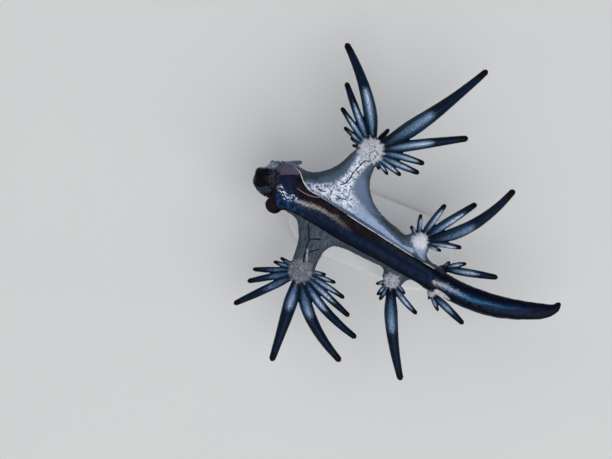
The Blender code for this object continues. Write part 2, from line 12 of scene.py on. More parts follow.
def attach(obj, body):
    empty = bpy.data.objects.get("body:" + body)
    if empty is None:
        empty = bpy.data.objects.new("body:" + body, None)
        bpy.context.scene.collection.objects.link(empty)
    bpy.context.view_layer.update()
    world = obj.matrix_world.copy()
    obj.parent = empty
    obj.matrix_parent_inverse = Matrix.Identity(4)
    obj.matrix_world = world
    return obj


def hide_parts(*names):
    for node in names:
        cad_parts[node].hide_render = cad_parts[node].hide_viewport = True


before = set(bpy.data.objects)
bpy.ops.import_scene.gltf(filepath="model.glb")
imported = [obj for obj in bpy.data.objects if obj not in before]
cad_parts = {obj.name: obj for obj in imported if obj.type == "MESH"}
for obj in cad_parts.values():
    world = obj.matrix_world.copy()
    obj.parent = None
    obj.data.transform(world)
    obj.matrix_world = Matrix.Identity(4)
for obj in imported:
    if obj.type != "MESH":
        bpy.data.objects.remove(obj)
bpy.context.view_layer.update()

# Sizes are millimetres in the model's frame. The animal floats belly up, so its foot faces +Z. Its head is at
# -X and its left side at +Y. Heights of the animal are measured from its body axis.

MM = 0.001
CELL = 0.1
REACH = 1.3
OUTSIDE = 5.0
GAP = 0.3
BODY_HEIGHT = 8.8
TOP_SQUARENESS = 3.0
TAIL_SQUARENESS = 2.4
ARM_SQUARENESS = 2.0
BODY_STEPS = 5
ARM_STEPS = 4
CERAS_STEPS = 16
GRID_LOW = (-16.4, -19.2, 5.2)
GRID_HIGH = (24.0, 23.4, 11.9)

Station = namedtuple("Station", "x y z half_width up down roll foot")

TRUNK = (
    Station(-14.95, 1.55, 0.45, 0.36, 0.30, 0.30, 5, 0.0),
    Station(-14.75, 1.58, 0.35, 0.78, 0.75, 0.80, 10, 0.0),
    Station(-14.20, 1.42, 0.20, 1.56, 1.05, 1.25, 15, 0.0),
    Station(-13.20, 1.42, 0.10, 2.13, 1.20, 1.65, 20, 0.0),
    Station(-12.20, 1.68, 0.00, 2.38, 1.30, 1.95, 22, 2.35),
    Station(-11.20, 1.65, 0.00, 2.55, 1.35, 2.10, 22, 2.95),
    Station(-10.20, 1.40, 0.00, 2.60, 1.35, 2.15, 22, 2.38),
    Station(-9.40, 1.25, 0.00, 2.65, 1.35, 2.20, 22, 1.95),
    Station(-8.60, 1.10, 0.00, 2.70, 1.35, 2.25, 22, 1.75),
    Station(-6.30, 0.75, 0.00, 2.75, 1.35, 2.30, 22, 1.68),
    Station(-2.50, 0.05, 0.00, 2.75, 1.35, 2.30, 22, 1.62),
    Station(0.90, -0.45, 0.00, 2.60, 1.30, 2.10, 22, 1.48),
    Station(3.00, -0.85, 0.00, 2.25, 1.20, 1.90, 20, 1.38),
    Station(5.20, -1.35, 0.00, 1.75, 1.10, 1.70, 17, 1.32),
    Station(6.80, -1.70, 0.00, 1.45, 1.05, 1.60, 13, 1.28),
    Station(8.70, -2.12, 0.00, 1.35, 1.00, 1.50, 10, 1.28),
)
TAIL = (
    Station(7.90, -2.05, 0.38, 1.40, 1.42, 1.66, 8, 0.0),
    Station(11.30, -2.51, 0.55, 1.31, 1.20, 1.45, 5, 0.0),
    Station(14.41, -2.55, 0.70, 1.33, 1.05, 1.30, 0, 0.0),
    Station(16.73, -2.27, 0.75, 1.27, 0.95, 1.15, 0, 0.0),
    Station(19.03, -1.71, 0.80, 1.12, 0.82, 0.98, 0, 0.0),
    Station(21.22, -0.99, 0.85, 0.92, 0.68, 0.78, 0, 0.0),
    Station(22.50, -0.24, 0.90, 0.62, 0.50, 0.54, 0, 0.0),
    Station(22.82, 0.42, 0.94, 0.36, 0.30, 0.30, 0, 0.0),
    Station(22.92, 0.76, 0.96, 0.17, 0.17, 0.17, 0, 0.0),
)
TRUNK_END = 8.2
TAIL_DARK_ALL_ROUND = 12.5
TAIL_SIDES = (-0.15, 0.45)
FOOT_START = -12.4
FOOT_THICK = 0.55
FOOT_SINK = 0.5
FOOT_GROOVE = 0.12
GROOVE_WIDTH = 0.35
FOOT_ROUND = 0.24
FOOT_REST = 0.88

Lobe = namedtuple("Lobe", "x out radius thick")

LOBES = (Lobe(-11.75, 1.93, 1.03, 0.28), Lobe(-11.45, -2.46, 1.02, 0.30))

BULB_CENTRE = (-13.82, 1.55, 0.6)
BULB_SIZE = (1.2, 1.12, 1.12)
LIP_RADIUS = 0.42
LIP_THICK = 0.18
LIP_SINK = 0.16
SLIT_SIZE = (0.5, 0.15, 0.38)

Feeler = namedtuple("Feeler", "root tip root_radius tip_radius")

FEELERS = (
    Feeler((-13.4, 1.18, -0.9), (-13.45, 1.40, -2.05), 0.45, 0.26),
    Feeler((-12.0, 1.6, -1.1), (-11.2, 2.3, -2.2), 0.52, 0.25),
)

Section = namedtuple("Section", "x y z half_width half_height")
Arm = namedtuple("Arm", "heading outward sections disc_centre disc_radius disc_height")

# How softly each shape meets what it is joined to, and how far past it the field is worked out

FILLETS = {
    "trunk": 0.1, "tail": 0.5, "front_arm": 0.9, "arm": 0.6, "bulb": 0.3, "lips": 0.12, "mouth": 0.08,
    "feeler": 0.35, "foot": 0.12, "lobe": 0.4, "disc": 0.4, "ceras": 0.16,
}
MARGINS = {"bulb": 0.8, "lips": 1.4, "mouth": 0.5, "feeler": 0.8, "lobe": 0.8, "disc": 1.0, "ceras": 0.6}

RELAX_ROUNDS = 3
RELAX_SHARE = 0.6
ONTO_SKIN_ROUNDS = 2
LEAST_SLOPE = 0.25
LEAST_LEVEL = 0.05

ARMS = {
    "front_left": Arm(-8, 1, (
        Section(-4.2, 0.9, 0.15, 5.2, 1.10),
        Section(-4.4, 2.5, 0.30, 5.2, 1.25),
        Section(-4.7, 3.8, 0.30, 3.7, 1.30),
        Section(-4.6, 5.0, 0.30, 2.5, 1.25),
        Section(-4.4, 6.3, 0.30, 1.85, 1.15),
        Section(-4.1, 7.6, 0.30, 1.55, 1.05),
        Section(-3.7, 8.8, 0.30, 1.25, 0.80),
    ), (-3.7, 8.8, 0.30), 1.6, 0.95),
    "front_right": Arm(-6, -1, (
        Section(-5.1, -0.7, -0.80, 3.4, 1.00),
        Section(-5.3, -1.8, -0.75, 3.2, 1.15),
        Section(-5.9, -2.7, -0.60, 2.3, 1.20),
        Section(-6.0, -3.7, -0.40, 1.70, 1.15),
        Section(-6.0, -4.8, -0.20, 1.50, 1.10),
        Section(-6.0, -5.9, 0.00, 1.40, 1.00),
        Section(-6.0, -7.0, 0.10, 1.15, 0.80),
    ), (-6.0, -7.0, 0.10), 1.5, 0.9),
    "middle_left": Arm(-22, 1, (
        Section(4.3, -1.2, 0.00, 2.6, 0.90),
        Section(4.7, -0.2, 0.10, 2.5, 1.00),
        Section(5.15, 0.55, 0.15, 1.7, 0.95),
        Section(5.45, 1.35, 0.20, 1.36, 0.76),
    ), (5.45, 1.35, 0.20), 0.98, 0.80),
    "middle_right": Arm(-3, -1, (
        Section(4.6, -1.8, -0.60, 2.2, 0.85),
        Section(4.5, -2.6, -0.55, 2.1, 0.95),
        Section(4.3, -3.3, -0.35, 1.5, 0.90),
        Section(4.1, -4.15, -0.15, 1.2, 0.72),
    ), (4.1, -4.15, -0.15), 0.95, 0.78),
    "rear_left": Arm(-10, 1, (
        Section(9.3, -2.0, -0.45, 0.65, 0.60),
        Section(9.2, -1.2, -0.70, 0.48, 0.50),
        Section(9.1, -0.65, -0.75, 0.38, 0.38),
    ), (9.1, -0.65, -0.75), 0.45, 0.45),
    "rear_right": Arm(-10, -1, (
        Section(9.3, -2.4, -0.55, 0.70, 0.60),
        Section(9.15, -3.3, -0.75, 0.52, 0.52),
        Section(8.95, -3.75, -0.80, 0.40, 0.40),
    ), (8.95, -3.75, -0.80), 0.48, 0.46),
}

# Each ceras: bearings of its root, middle and tip and the reach of the tip, seen from the middle of the disc.
# Then its largest radius, how far the tip drops, where the silver streak on it starts and ends, as shares of
# its length, and how bright the streak is.

Ceras = namedtuple("Ceras", "root middle tip reach radius drop streak_start streak_end silver")

CERAS_ROOT_DEPTH = 0.45
CERAS_EARLY_DROP = 0.35
CERATA = {
    "front_left": (
        Ceras(186, 184, 184, 2.35, 0.27, 0.9, 0.35, 0.80, 0.30),
        Ceras(175, 170, 168.5, 2.9, 0.28, 0.5, 0.30, 0.85, 0.60),
        Ceras(154, 160, 160, 4.2, 0.34, 0.7, 0.30, 0.75, 0.80),
        Ceras(139, 146, 146, 6.1, 0.40, 0.4, 0.25, 0.77, 0.95),
        Ceras(125, 131.8, 131.6, 8.45, 0.50, 0.8, 0.22, 0.66, 0.95),
        Ceras(101, 116.3, 124.9, 12.8, 0.82, 0.9, 0.18, 0.55, 0.95),
        Ceras(76, 74, 72, 3.4, 0.36, 1.3, 0.90, 0.91, 0.00),
        Ceras(44, 52.8, 56.7, 16.4, 1.02, 1.4, 0.20, 0.50, 0.62),
        Ceras(26, 29.8, 29.5, 11.35, 0.67, 1.0, 0.26, 0.62, 1.00),
        Ceras(12, 12, 8.5, 6.4, 0.47, 0.5, 0.26, 0.90, 0.85),
        Ceras(353, 355.8, 357.5, 6.2, 0.45, 1.1, 0.26, 0.84, 0.90),
        Ceras(341, 342, 343, 4.55, 0.37, 0.5, 0.28, 0.92, 1.00),
        Ceras(328, 328, 328, 3.45, 0.31, 0.9, 0.30, 0.90, 0.95),
        Ceras(319, 317, 316, 2.5, 0.26, 0.3, 0.35, 0.90, 0.70),
    ),
    "front_right": (
        Ceras(166, 168, 169, 2.9, 0.28, 0.3, 0.35, 0.80, 0.50),
        Ceras(178, 183, 183, 3.4, 0.32, 0.8, 0.30, 0.75, 0.60),
        Ceras(194, 200, 200, 5.6, 0.38, 1.0, 0.25, 0.62, 0.40),
        Ceras(212, 213, 213, 6.3, 0.42, 0.4, 0.25, 0.60, 0.35),
        Ceras(238, 229.5, 228.3, 8.65, 0.50, 1.2, 0.22, 0.52, 0.42),
        Ceras(267, 274.2, 274, 10.95, 0.84, 0.7, 0.16, 0.40, 0.68),
        Ceras(302, 304.5, 315.8, 11.45, 0.77, 1.1, 0.24, 0.46, 0.60),
        Ceras(319, 323.5, 331.6, 10.05, 0.56, 0.5, 0.25, 0.52, 0.90),
        Ceras(333, 338, 338.8, 7.7, 0.46, 1.0, 0.25, 0.66, 0.95),
        Ceras(350, 351.5, 350, 5.95, 0.38, 0.5, 0.28, 0.80, 0.90),
        Ceras(2, 4, 3, 4.3, 0.33, 0.9, 0.30, 0.85, 0.90),
        Ceras(15, 14, 13.5, 3.05, 0.30, 0.4, 0.35, 0.88, 0.75),
    ),
    "middle_left": (
        Ceras(178, 175, 174, 1.55, 0.26, 0.7, 0.50, 0.88, 0.40),
        Ceras(154, 147, 144, 2.15, 0.28, 0.5, 0.40, 0.88, 0.90),
        Ceras(124, 116, 110.5, 3.15, 0.32, 0.4, 0.30, 0.90, 0.90),
        Ceras(92, 80, 77.2, 5.15, 0.42, 0.6, 0.25, 0.86, 1.00),
        Ceras(66, 56, 55.4, 7.8, 0.54, 0.8, 0.28, 0.74, 1.00),
        Ceras(34, 38.5, 50.5, 12.4, 0.75, 1.2, 0.24, 0.50, 0.50),
        Ceras(16, 13, 12.6, 4.85, 0.38, 0.5, 0.28, 0.91, 0.95),
        Ceras(353, 355, 356.5, 2.75, 0.28, 0.8, 0.35, 0.93, 0.90),
    ),
    "middle_right": (
        Ceras(208, 212, 213.5, 1.9, 0.28, 0.7, 0.40, 0.90, 0.80),
        Ceras(234, 243, 247, 2.4, 0.30, 0.4, 0.40, 0.82, 0.75),
        Ceras(256, 260, 260.5, 2.65, 0.32, 0.6, 0.40, 0.74, 0.70),
        Ceras(292, 292.8, 297.5, 11.55, 0.81, 1.0, 0.22, 0.50, 0.60),
        Ceras(318, 324, 329.5, 4.85, 0.39, 0.6, 0.28, 0.80, 1.00),
        Ceras(344, 340, 338, 2.25, 0.30, 0.4, 0.35, 0.92, 0.90),
    ),
    "rear_left": (
        Ceras(76, 70, 68, 1.25, 0.26, 0.0, 0.35, 0.95, 0.90),
        Ceras(46, 37.5, 34.5, 2.8, 0.33, 0.2, 0.28, 0.80, 1.00),
        Ceras(14, 13, 13, 6.4, 0.48, 0.0, 0.22, 0.62, 1.00),
    ),
    "rear_right": (
        Ceras(262, 264, 264, 0.85, 0.26, 0.3, 0.45, 0.85, 0.50),
        Ceras(300, 309, 312.3, 2.2, 0.29, 0.0, 0.30, 0.78, 0.85),
        Ceras(338, 338.3, 338, 5.1, 0.46, 0.2, 0.28, 0.63, 0.75),
    ),
}
SLIM_GIRTH = ((0.0, 0.55), (0.14, 0.80), (0.30, 1.0), (0.50, 1.0), (0.72, 0.92))
STOUT_GIRTH = ((0.0, 0.50), (0.14, 0.74), (0.30, 1.0), (0.50, 0.83), (0.72, 0.56))
SLIM_TIP = 0.68
STOUT_TIP = 0.37
SLIM_RADIUS = 0.45
STOUTEST_RADIUS = 1.0
RING_STEP = 0.04

# The silver streak's half width at the root and at its widest, as shares of the radius, and how much of it
# is left at its end on slim and on stout cerata. Then how far it lies to one side on some fans, the length of
# the black tip (a base and a share of the length) and the width of the gaps between cerata, which are painted
# dark as shade.

STREAK_ROOT = 0.16
STREAK_WIDTH = 0.50
STREAK_END_SLIM = 0.45
STREAK_END_STOUT = 0.90
STREAK_RADII = (0.45, 0.70)
STREAK_ASIDE = {"middle_left": -0.30}
TIP_BASE = 0.30
TIP_SHARE = 0.06
CREVICE_WIDTH = 0.16

# Markings in plan. The third value of a band's points is half the width of the band.

BANDS = {
    "band": (
        (
            (-4.0, 8.06, 0.92), (-4.32, 6.69, 0.75), (-4.74, 5.28, 0.69), (-5.05, 3.91, 1.04),
            (-4.75, 2.7, 1.25),
        ),
        (
            (-9.51, 2.36, 0.29), (-8.12, 2.3, 0.58), (-6.39, 2.63, 1.04), (-4.43, 2.6, 1.15),
            (-2.57, 1.86, 0.85), (-0.6, 1.2, 0.6), (1.62, 0.5, 0.38), (3.59, -0.05, 0.2), (4.87, -0.1, 0.3),
        ),
        ((5.3, 1.25, 0.95), (5.9, 0.5, 0.8), (6.5, -0.3, 0.35)),
    ),
    # Painted light: a paler blue grey on the flank beside the front left arm, on its side turned to the
    # light.
    "pale": (
        ((-3.6, 4.7, 0.95), (-2.4, 3.1, 1.0), (-0.2, 2.1, 0.6)),
    ),
    "hood": (
        (
            (-14.99, 1.94, 0.12), (-14.74, 2.42, 0.3), (-14.19, 2.89, 0.48), (-13.4, 3.16, 0.52),
            (-12.68, 3.72, 0.6), (-11.93, 4.24, 0.64), (-11.01, 4.42, 0.68), (-10.27, 4.53, 0.7),
        ),
    ),
    "hood_glint": (
        ((-14.8, 2.25, 0.2), (-14.3, 2.65, 0.3), (-13.7, 3.0, 0.34), (-13.1, 3.2, 0.15)),
    ),
    "cheek": (
        ((-14.17, -0.08, 0.35), (-13.56, 0.05, 0.46), (-12.92, 0.3, 0.4)),
    ),
    "snout": (
        ((-14.55, 1.4, 1.0), (-14.28, 1.02, 0.98)),
    ),
    "speckled": (
        ((-12.95, 2.58, 0.75), (-12.53, 1.39, 0.75)),
    ),
    # Painted highlight: the grey top of the left foot lobe.
    "left_lobe": (
        ((-12.74, 2.96, 0.8), (-10.71, 3.78, 0.8)),
    ),
    "right_lobe": (
        ((-12.51, -0.34, 0.75), (-12.23, -1.35, 1.1)),
    ),
    # Painted glints: white shards at the front of the foot.
    "shards": (
        ((-11.79, 0.94, 0.4), (-11.23, 0.48, 0.3), (-10.61, 0.18, 0.38), (-9.87, 0.48, 0.4)),
    ),
    # Painted highlight: the glare streak along the foot.
    "sheen": (
        (
            (-9.65, 0.25, 0.3), (-8.8, 0.29, 0.48), (-7.97, 0.38, 0.54), (-6.88, 0.45, 0.52),
            (-5.55, 0.24, 0.46), (-4.38, 0.09, 0.63), (-3.22, -0.31, 0.63), (-2.37, -0.58, 0.35),
        ),
    ),
    # Painted highlight: the glare streak along the tail.
    "tail_sheen": (
        (
            (8.68, -2.45, 0.46), (9.66, -2.42, 0.58), (10.94, -2.52, 0.52), (11.97, -2.61, 0.46),
            (13.25, -2.71, 0.4), (14.45, -2.6, 0.4), (15.6, -2.38, 0.35), (17.01, -2.18, 0.29),
            (18.54, -1.69, 0.35), (20.12, -1.3, 0.29),
        ),
    ),
    "patch": (
        ((9.32, -3.43, 0.42), (10.1, -3.5, 0.36), (10.95, -3.6, 0.14)),
    ),
    "right_ridge": (
        ((-6.23, -4.38, 0.16), (-5.9, -5.36, 0.18), (-5.62, -6.36, 0.2)),
    ),
}
LINES = {
    "crack": (
        (
            (-5.44, 3.94), (-5.09, 4.15), (-4.78, 4.77), (-4.7, 5.48), (-4.48, 6.19), (-4.2, 6.86),
            (-3.94, 7.46), (-3.44, 7.6),
        ),
        (
            (-7.21, -1.8), (-6.81, -2.63), (-6.46, -3.35), (-6.46, -3.97), (-6.39, -4.44), (-6.34, -5.04),
            (-6.14, -5.83),
        ),
        ((-6.48, -3.3), (-5.99, -2.98), (-5.31, -2.83)),
        ((-5.94, -4.63), (-5.58, -4.3), (-5.09, -3.98)),
        ((-7.72, 2.53), (-7.29, 2.39), (-6.84, 2.51)),
        ((-5.37, 2.54), (-4.81, 2.4), (-4.39, 2.57)),
    ),
    "fine_crack": (
        ((-3.38, 7.69), (-3.63, 8.21), (-3.64, 8.7), (-3.28, 9.03), (-2.79, 8.74)),
        ((-3.14, 7.78), (-3.0, 8.34), (-2.79, 8.74)),
        ((-4.47, 1.54), (-2.97, 1.22), (-1.63, 0.96), (-0.3, 0.75), (1.32, 0.41)),
    ),
    "inner_line": (
        ((-9.83, 1.61), (-9.15, 1.45), (-8.38, 1.39), (-7.78, 1.45), (-7.12, 1.65)),
    ),
}
LINE_NEAR = 0.22
MARGIN_STRETCHES = ((-11.5, -7.6), (-3.8, 5.4), (6.3, 9.1))
MARGIN_FADE = 0.7

# Relief

FOLD_SIZE = 0.9
FOLD_HEIGHT = 0.05
PIMPLE_SIZE = 0.35
PIMPLE_HEIGHT = 0.02
CERAS_SMOOTHNESS = 0.75
CRACK_DEPTH = 0.07
CRACK_WIDTH = 0.09
CREVICE_DEPTH = 0.06
STREAK_HEIGHT = 0.04
MARGIN_HEIGHT = 0.03

# Pointed teeth round the edge of a disc: how many, how far they reach out and a phase. One rear arm's disc is
# as dark as the roots of its cerata.

TEETH = ((11, 0.08, 0.4), (17, 0.07, 1.9), (31, 0.05, 4.1))
DARK_DISC = "rear_left"
DARK_DISC_DEPTH = 0.35
DISC_REACH = 0.98
DISC_TONES = {
    "front_left": 0.85, "front_right": 0.0, "middle_left": 1.0, "middle_right": 0.55, "rear_right": 0.7,
}
DISC_TOP = 0.1
RAYS = 31
RAY_SWAYS = 7
RAY_SWAY = 3
FINE_RAYS = 47
FINE_RAY_SHARE = 0.4

# Where marks begin and end. A pair is where a mark is 0 and where it is 1. Upwards, a normal's share is 1.

FAR_OFF = -3.0
PAST_WEIGHT = 3
CERAS_BOX = 0.5
CERAS_NEAR = 0.6
CERAS_BLEND = (-0.18, 0.12)
CREVICE_MIDDLE = 0.02
CREVICE_NEAR = (0.45, 0.25)
STREAK_NARROWS = 0.7
STREAK_LEAST = 0.05
STREAK_DAWN = 0.2
STREAK_DIMMEST = 0.25
FOOT_FROM_HEIGHT = 0.25
FOOT_TOP_SLACK = 0.05
TAIL_REACH = 1.25
LOBE_NEAR = 0.4
LOBE_SKIN = 0.1
LOBE_INSIDE = 0.2
LEAST_FOOT = 0.8
SIDE_LIMIT = 1.5
LEFT_SIDE = (-0.8, 0.8)
BELOW_PATCH = (0.2, -0.3)
FACING_DOWN = (0.15, -0.55)
FACING_OUT = (0.93, 0.45)
OFF_FOOT = (-0.3, -0.9)

PLAIN_AXES = np.eye(3)
LIFT = np.array((0, 0, BODY_HEIGHT))
CORNERS = [(i, j, k) for i in (0, 1) for j in (0, 1) for k in (0, 1)]


def lerp(near, far, t):
    return near + t * (far - near)


def unit(vector):
    return vector / np.linalg.norm(vector)


def blend(t, before, start, end, after):
    """A smooth curve's value at t, from start at 0 to end at 1."""
    square = 2 * before - 5 * start + 4 * end - after
    cube = 3 * start - before - 3 * end + after
    return start + (t * (end - before) + t**2 * square + t**3 * cube) / 2


def catmull_rom(keys, steps):
    """Stations on a smooth curve through the keys, with steps spans from each key to the next."""
    kind = type(keys[0])
    found = []
    for i in range(len(keys) - 1):
        a = keys[max(i - 1, 0)]
        b = keys[i]
        c = keys[i + 1]
        d = keys[min(i + 2, len(keys) - 1)]
        for step in range(steps):
            found.append(kind(*(blend(step / steps, *values) for values in zip(a, b, c, d))))
    found.append(keys[-1])
    return found


# A swept shape is a row of rings. Each has its middle, the direction the shape runs in, the directions across
# it and up, half its width, its reach up and down, and half the width of the foot on it.

Ring = namedtuple("Ring", "centre along left rise half_width up down foot")


def body_rings(keys):
    stations = catmull_rom(keys, BODY_STEPS)
    centres = [np.array((s.x, s.y, s.z + BODY_HEIGHT)) for s in stations]
    rings = []
    for i, s in enumerate(stations):
        along = unit(centres[min(i + 1, len(centres) - 1)] - centres[max(i - 1, 0)])
        left = unit(np.cross((0, 0, 1), along))
        rise = np.cross(along, left)
        roll = math.radians(s.roll)
        turned = left * math.cos(roll) + rise * math.sin(roll)
        raised = rise * math.cos(roll) - left * math.sin(roll)
        rings.append(Ring(centres[i], along, turned, raised, s.half_width, s.up, s.down, s.foot))
    return rings


def arm_rings(arm):
    heading = math.radians(arm.heading)
    across = np.array((math.cos(heading), math.sin(heading), 0))
    along = np.array((-math.sin(heading), math.cos(heading), 0)) * arm.outward
    up = np.array((0, 0, 1))
    rings = []
    for s in catmull_rom(arm.sections, ARM_STEPS):
        centre = np.array((s.x, s.y, s.z + BODY_HEIGHT))
        rings.append(Ring(centre, along, across, up, s.half_width, s.half_height, s.half_height, 0.0))
    return rings


def bearing(degrees):
    return np.array((math.cos(math.radians(degrees)), math.sin(math.radians(degrees)), 0))


def ceras_line(arm, ceras):
    """Points along the middle of a ceras, its radius at each, and the shares of its length they lie at."""
    centre = np.array(arm.disc_centre) + LIFT
    drop = np.array((0, 0, -ceras.drop))
    root = centre + bearing(ceras.root) * arm.disc_radius * CERAS_ROOT_DEPTH
    middle = centre + bearing(ceras.middle) * ceras.reach / 2 + drop * CERAS_EARLY_DROP
    tip = centre + bearing(ceras.tip) * ceras.reach + drop
    bend = middle * 2 - (root + tip) / 2
    stoutness = np.clip((ceras.radius - SLIM_RADIUS) / (STOUTEST_RADIUS - SLIM_RADIUS), 0, 1)
    end = 1 - lerp(SLIM_TIP, STOUT_TIP, stoutness) * ceras.radius / np.linalg.norm(tip - root)
    shares = np.linspace(0, end, CERAS_STEPS + 1)
    t = shares[:, None]
    points = root * (1 - t) ** 2 + bend * 2 * t * (1 - t) + tip * t**2
    girths = []
    for profile, tip_girth in ((SLIM_GIRTH, SLIM_TIP), (STOUT_GIRTH, STOUT_TIP)):
        at, values = zip(*[key for key in profile if key[0] < end - RING_STEP], (end, tip_girth))
        girths.append(np.interp(shares, at, values))
    smooth = lerp(*girths, stoutness)
    smooth[1:-1] = smooth[:-2] / 4 + smooth[1:-1] / 2 + smooth[2:] / 4
    return points, smooth * ceras.radius, shares


def placed(points, near, far):
    """Where points lie on a stretch between rings: share of it, distance past its ends, across, up."""
    axis = far.centre - near.centre
    normal = unit(near.along + far.along)
    offsets = [p - c for p, c in zip(points, near.centre)]
    length = axis @ normal
    raw = sum(o * n for o, n in zip(offsets, normal)) / length
    t = np.clip(raw, 0, 1)
    from_axis = [o - t * a for o, a in zip(offsets, axis)]
    left = [n + t * (f - n) for n, f in zip(near.left, far.left)]
    rise = [n + t * (f - n) for n, f in zip(near.rise, far.rise)]
    across = sum(q * v for q, v in zip(from_axis, left))
    height = sum(q * v for q, v in zip(from_axis, rise))
    return t, (raw - t) * length, across, height


def swept_distance(points, near, far, squareness):
    """Distance to a stretch of body or arm."""
    t, past, across, height = placed(points, near, far)
    wide = lerp(near.half_width, far.half_width, t)
    above = height > 0
    reach = np.where(above, lerp(near.up, far.up, t), lerp(near.down, far.down, t))
    power = np.where(above, squareness, 2.0)
    level = (np.abs(across / wide) ** power + np.abs(height / reach) ** power) ** (1 / power)
    from_middle = np.sqrt(across**2 + height**2)
    skin = np.where(level > LEAST_LEVEL, from_middle / np.maximum(level, LEAST_LEVEL), reach)
    inside = from_middle - skin
    return np.where(past == 0, inside, np.hypot(np.maximum(inside, 0), past))


def belly(near, far, t, across):
    """Height of the trunk's belly side above its axis."""
    share = np.minimum(np.abs(across) / lerp(near.half_width, far.half_width, t), FOOT_REST)
    return lerp(near.up, far.up, t) * (1 - share**TOP_SQUARENESS) ** (1 / TOP_SQUARENESS)


def foot_distance(points, near, far, squareness):
    """Distance to a stretch of the foot, a rounded ribbon with a shallow groove along its middle."""
    t, past, across, height = placed(points, near, far)
    top = GAP + FOOT_THICK - FOOT_GROOVE * np.exp(-((across / GROOVE_WIDTH) ** 2))
    bottom = -FOOT_SINK
    lift = height - belly(near, far, t, across)
    out = np.abs(across) - (lerp(near.foot, far.foot, t) - FOOT_ROUND)
    off = np.abs(lift - (top + bottom) / 2) - ((top - bottom) / 2 - FOOT_ROUND)
    past = np.abs(past)
    beyond = np.sqrt(np.maximum(out, 0) ** 2 + np.maximum(off, 0) ** 2 + past**2)
    return beyond + np.where(past > 0, 0, np.minimum(np.maximum(out, off), 0)) - FOOT_ROUND


def tube_distance(points, near, far):
    """Distance to a stretch of tube between two (middle, radius) pairs."""
    (a, near_radius), (b, far_radius) = near, far
    axis = b - a
    offsets = [p - c for p, c in zip(points, a)]
    t = np.clip(sum(o * v for o, v in zip(offsets, axis)) / (axis @ axis), 0, 1)
    square = sum((o - t * v) ** 2 for o, v in zip(offsets, axis))
    return np.sqrt(square) - lerp(near_radius, far_radius, t)


def ellipsoid_distance(points, centre, axes, size):
    """Distance to an ellipsoid whose own axes are the rows of axes."""
    offsets = [p - c for p, c in zip(points, centre)]
    local = [sum(o * v for o, v in zip(offsets, axis)) for axis in axes]
    first = np.sqrt(sum((v / s) ** 2 for v, s in zip(local, size)))
    second = np.sqrt(sum((v / s**2) ** 2 for v, s in zip(local, size)))
    return first * (first - 1) / np.maximum(second, 1e-6)


def ring_distance(points, centre, radius, thick):
    """Distance to a ring whose axis is along X."""
    x, y, z = (p - c for p, c in zip(points, centre))
    return np.hypot(np.hypot(y, z) - radius, x) - thick


def smooth_min(a, b, k):
    h = np.clip(0.5 + 0.5 * (b - a) / k, 0, 1)
    return b + (a - b) * h - k * h * (1 - h)


class Field:
    """Distance to the skin at the points of a grid, negative inside."""

    def __init__(self, low, high):
        self.axes = [np.arange(a, b, CELL, dtype=np.float32) for a, b in zip(low, high)]
        self.values = np.full([len(axis) for axis in self.axes], OUTSIDE, dtype=np.float32)

    def cuts(self, low, high):
        return tuple(slice(*np.searchsorted(axis, (a, b))) for axis, a, b in zip(self.axes, low, high))

    def points(self, cuts):
        return np.meshgrid(*(axis[cut] for axis, cut in zip(self.axes, cuts)), indexing="ij", sparse=True)

    def shape(self, pieces):
        """The region that pieces (low and high corner, distance function) fill, and the distance in it."""
        low = np.min([piece[0] for piece in pieces], axis=0)
        high = np.max([piece[1] for piece in pieces], axis=0)
        region = self.cuts(low, high)
        found = np.full([cut.stop - cut.start for cut in region], OUTSIDE, dtype=np.float32)
        for piece_low, piece_high, distance in pieces:
            cuts = self.cuts(piece_low, piece_high)
            inner = tuple(slice(c.start - r.start, c.stop - r.start) for c, r in zip(cuts, region))
            found[inner] = np.minimum(found[inner], distance(self.points(cuts)))
        return region, found

    def join(self, pieces, k):
        """Adds a shape, and fills the corner where it meets the rest with a fillet of about k."""
        region, found = self.shape(pieces)
        self.values[region] = smooth_min(self.values[region], found, k)

    def cut(self, pieces, k):
        """Takes a shape away."""
        region, found = self.shape(pieces)
        self.values[region] = -smooth_min(-self.values[region], found, k)


def ring_box(ring, margin):
    reach = np.array((ring.half_width, ring.half_width, 0)) * np.abs(ring.left) + margin
    tall = max(ring.up, ring.down)
    reach = reach + np.abs(ring.rise) * tall + np.abs(ring.left[2]) * ring.half_width
    return ring.centre - reach, ring.centre + reach


def swept_pieces(rings, distance, squareness, margin):
    pieces = []
    for near, far in zip(rings, rings[1:]):
        boxes = [ring_box(near, margin), ring_box(far, margin)]
        low = np.min([b[0] for b in boxes], axis=0)
        high = np.max([b[1] for b in boxes], axis=0)
        pieces.append((low, high, lambda p, a=near, b=far: distance(p, a, b, squareness)))
    return pieces


def tube_pieces(points, radii, margin):
    pieces = []
    ends = list(zip(points, radii))
    for near, far in zip(ends, ends[1:]):
        reach = max(near[1], far[1]) + margin
        low = np.minimum(near[0], far[0]) - reach
        high = np.maximum(near[0], far[0]) + reach
        pieces.append((low, high, lambda p, a=near, b=far: tube_distance(p, a, b)))
    return pieces


def ellipsoid_piece(centre, axes, size, margin):
    reach = max(size) + margin
    centre = np.array(centre, dtype=float)
    return (centre - reach, centre + reach, lambda p: ellipsoid_distance(p, centre, axes, size))


def disc_piece(arm):
    size = (arm.disc_radius, arm.disc_radius, arm.disc_height)
    return ellipsoid_piece(np.array(arm.disc_centre) + LIFT, PLAIN_AXES, size, MARGINS["disc"])


def ring_near(rings, x):
    return min(rings, key=lambda ring: abs(ring.centre[0] - x))


def lobe_pieces(rings, margin):
    """The foot's two front lobes."""
    pieces = []
    for lobe in LOBES:
        ring = ring_near(rings, lobe.x)
        seat = belly(ring, ring, 0.0, lobe.out) + GAP + lobe.thick
        axes = np.array((np.cross(ring.left, ring.rise), ring.left, ring.rise))
        centre = ring.centre + ring.left * lobe.out + ring.rise * seat
        pieces.append(ellipsoid_piece(centre, axes, (lobe.radius, lobe.radius, lobe.thick), margin))
    return pieces


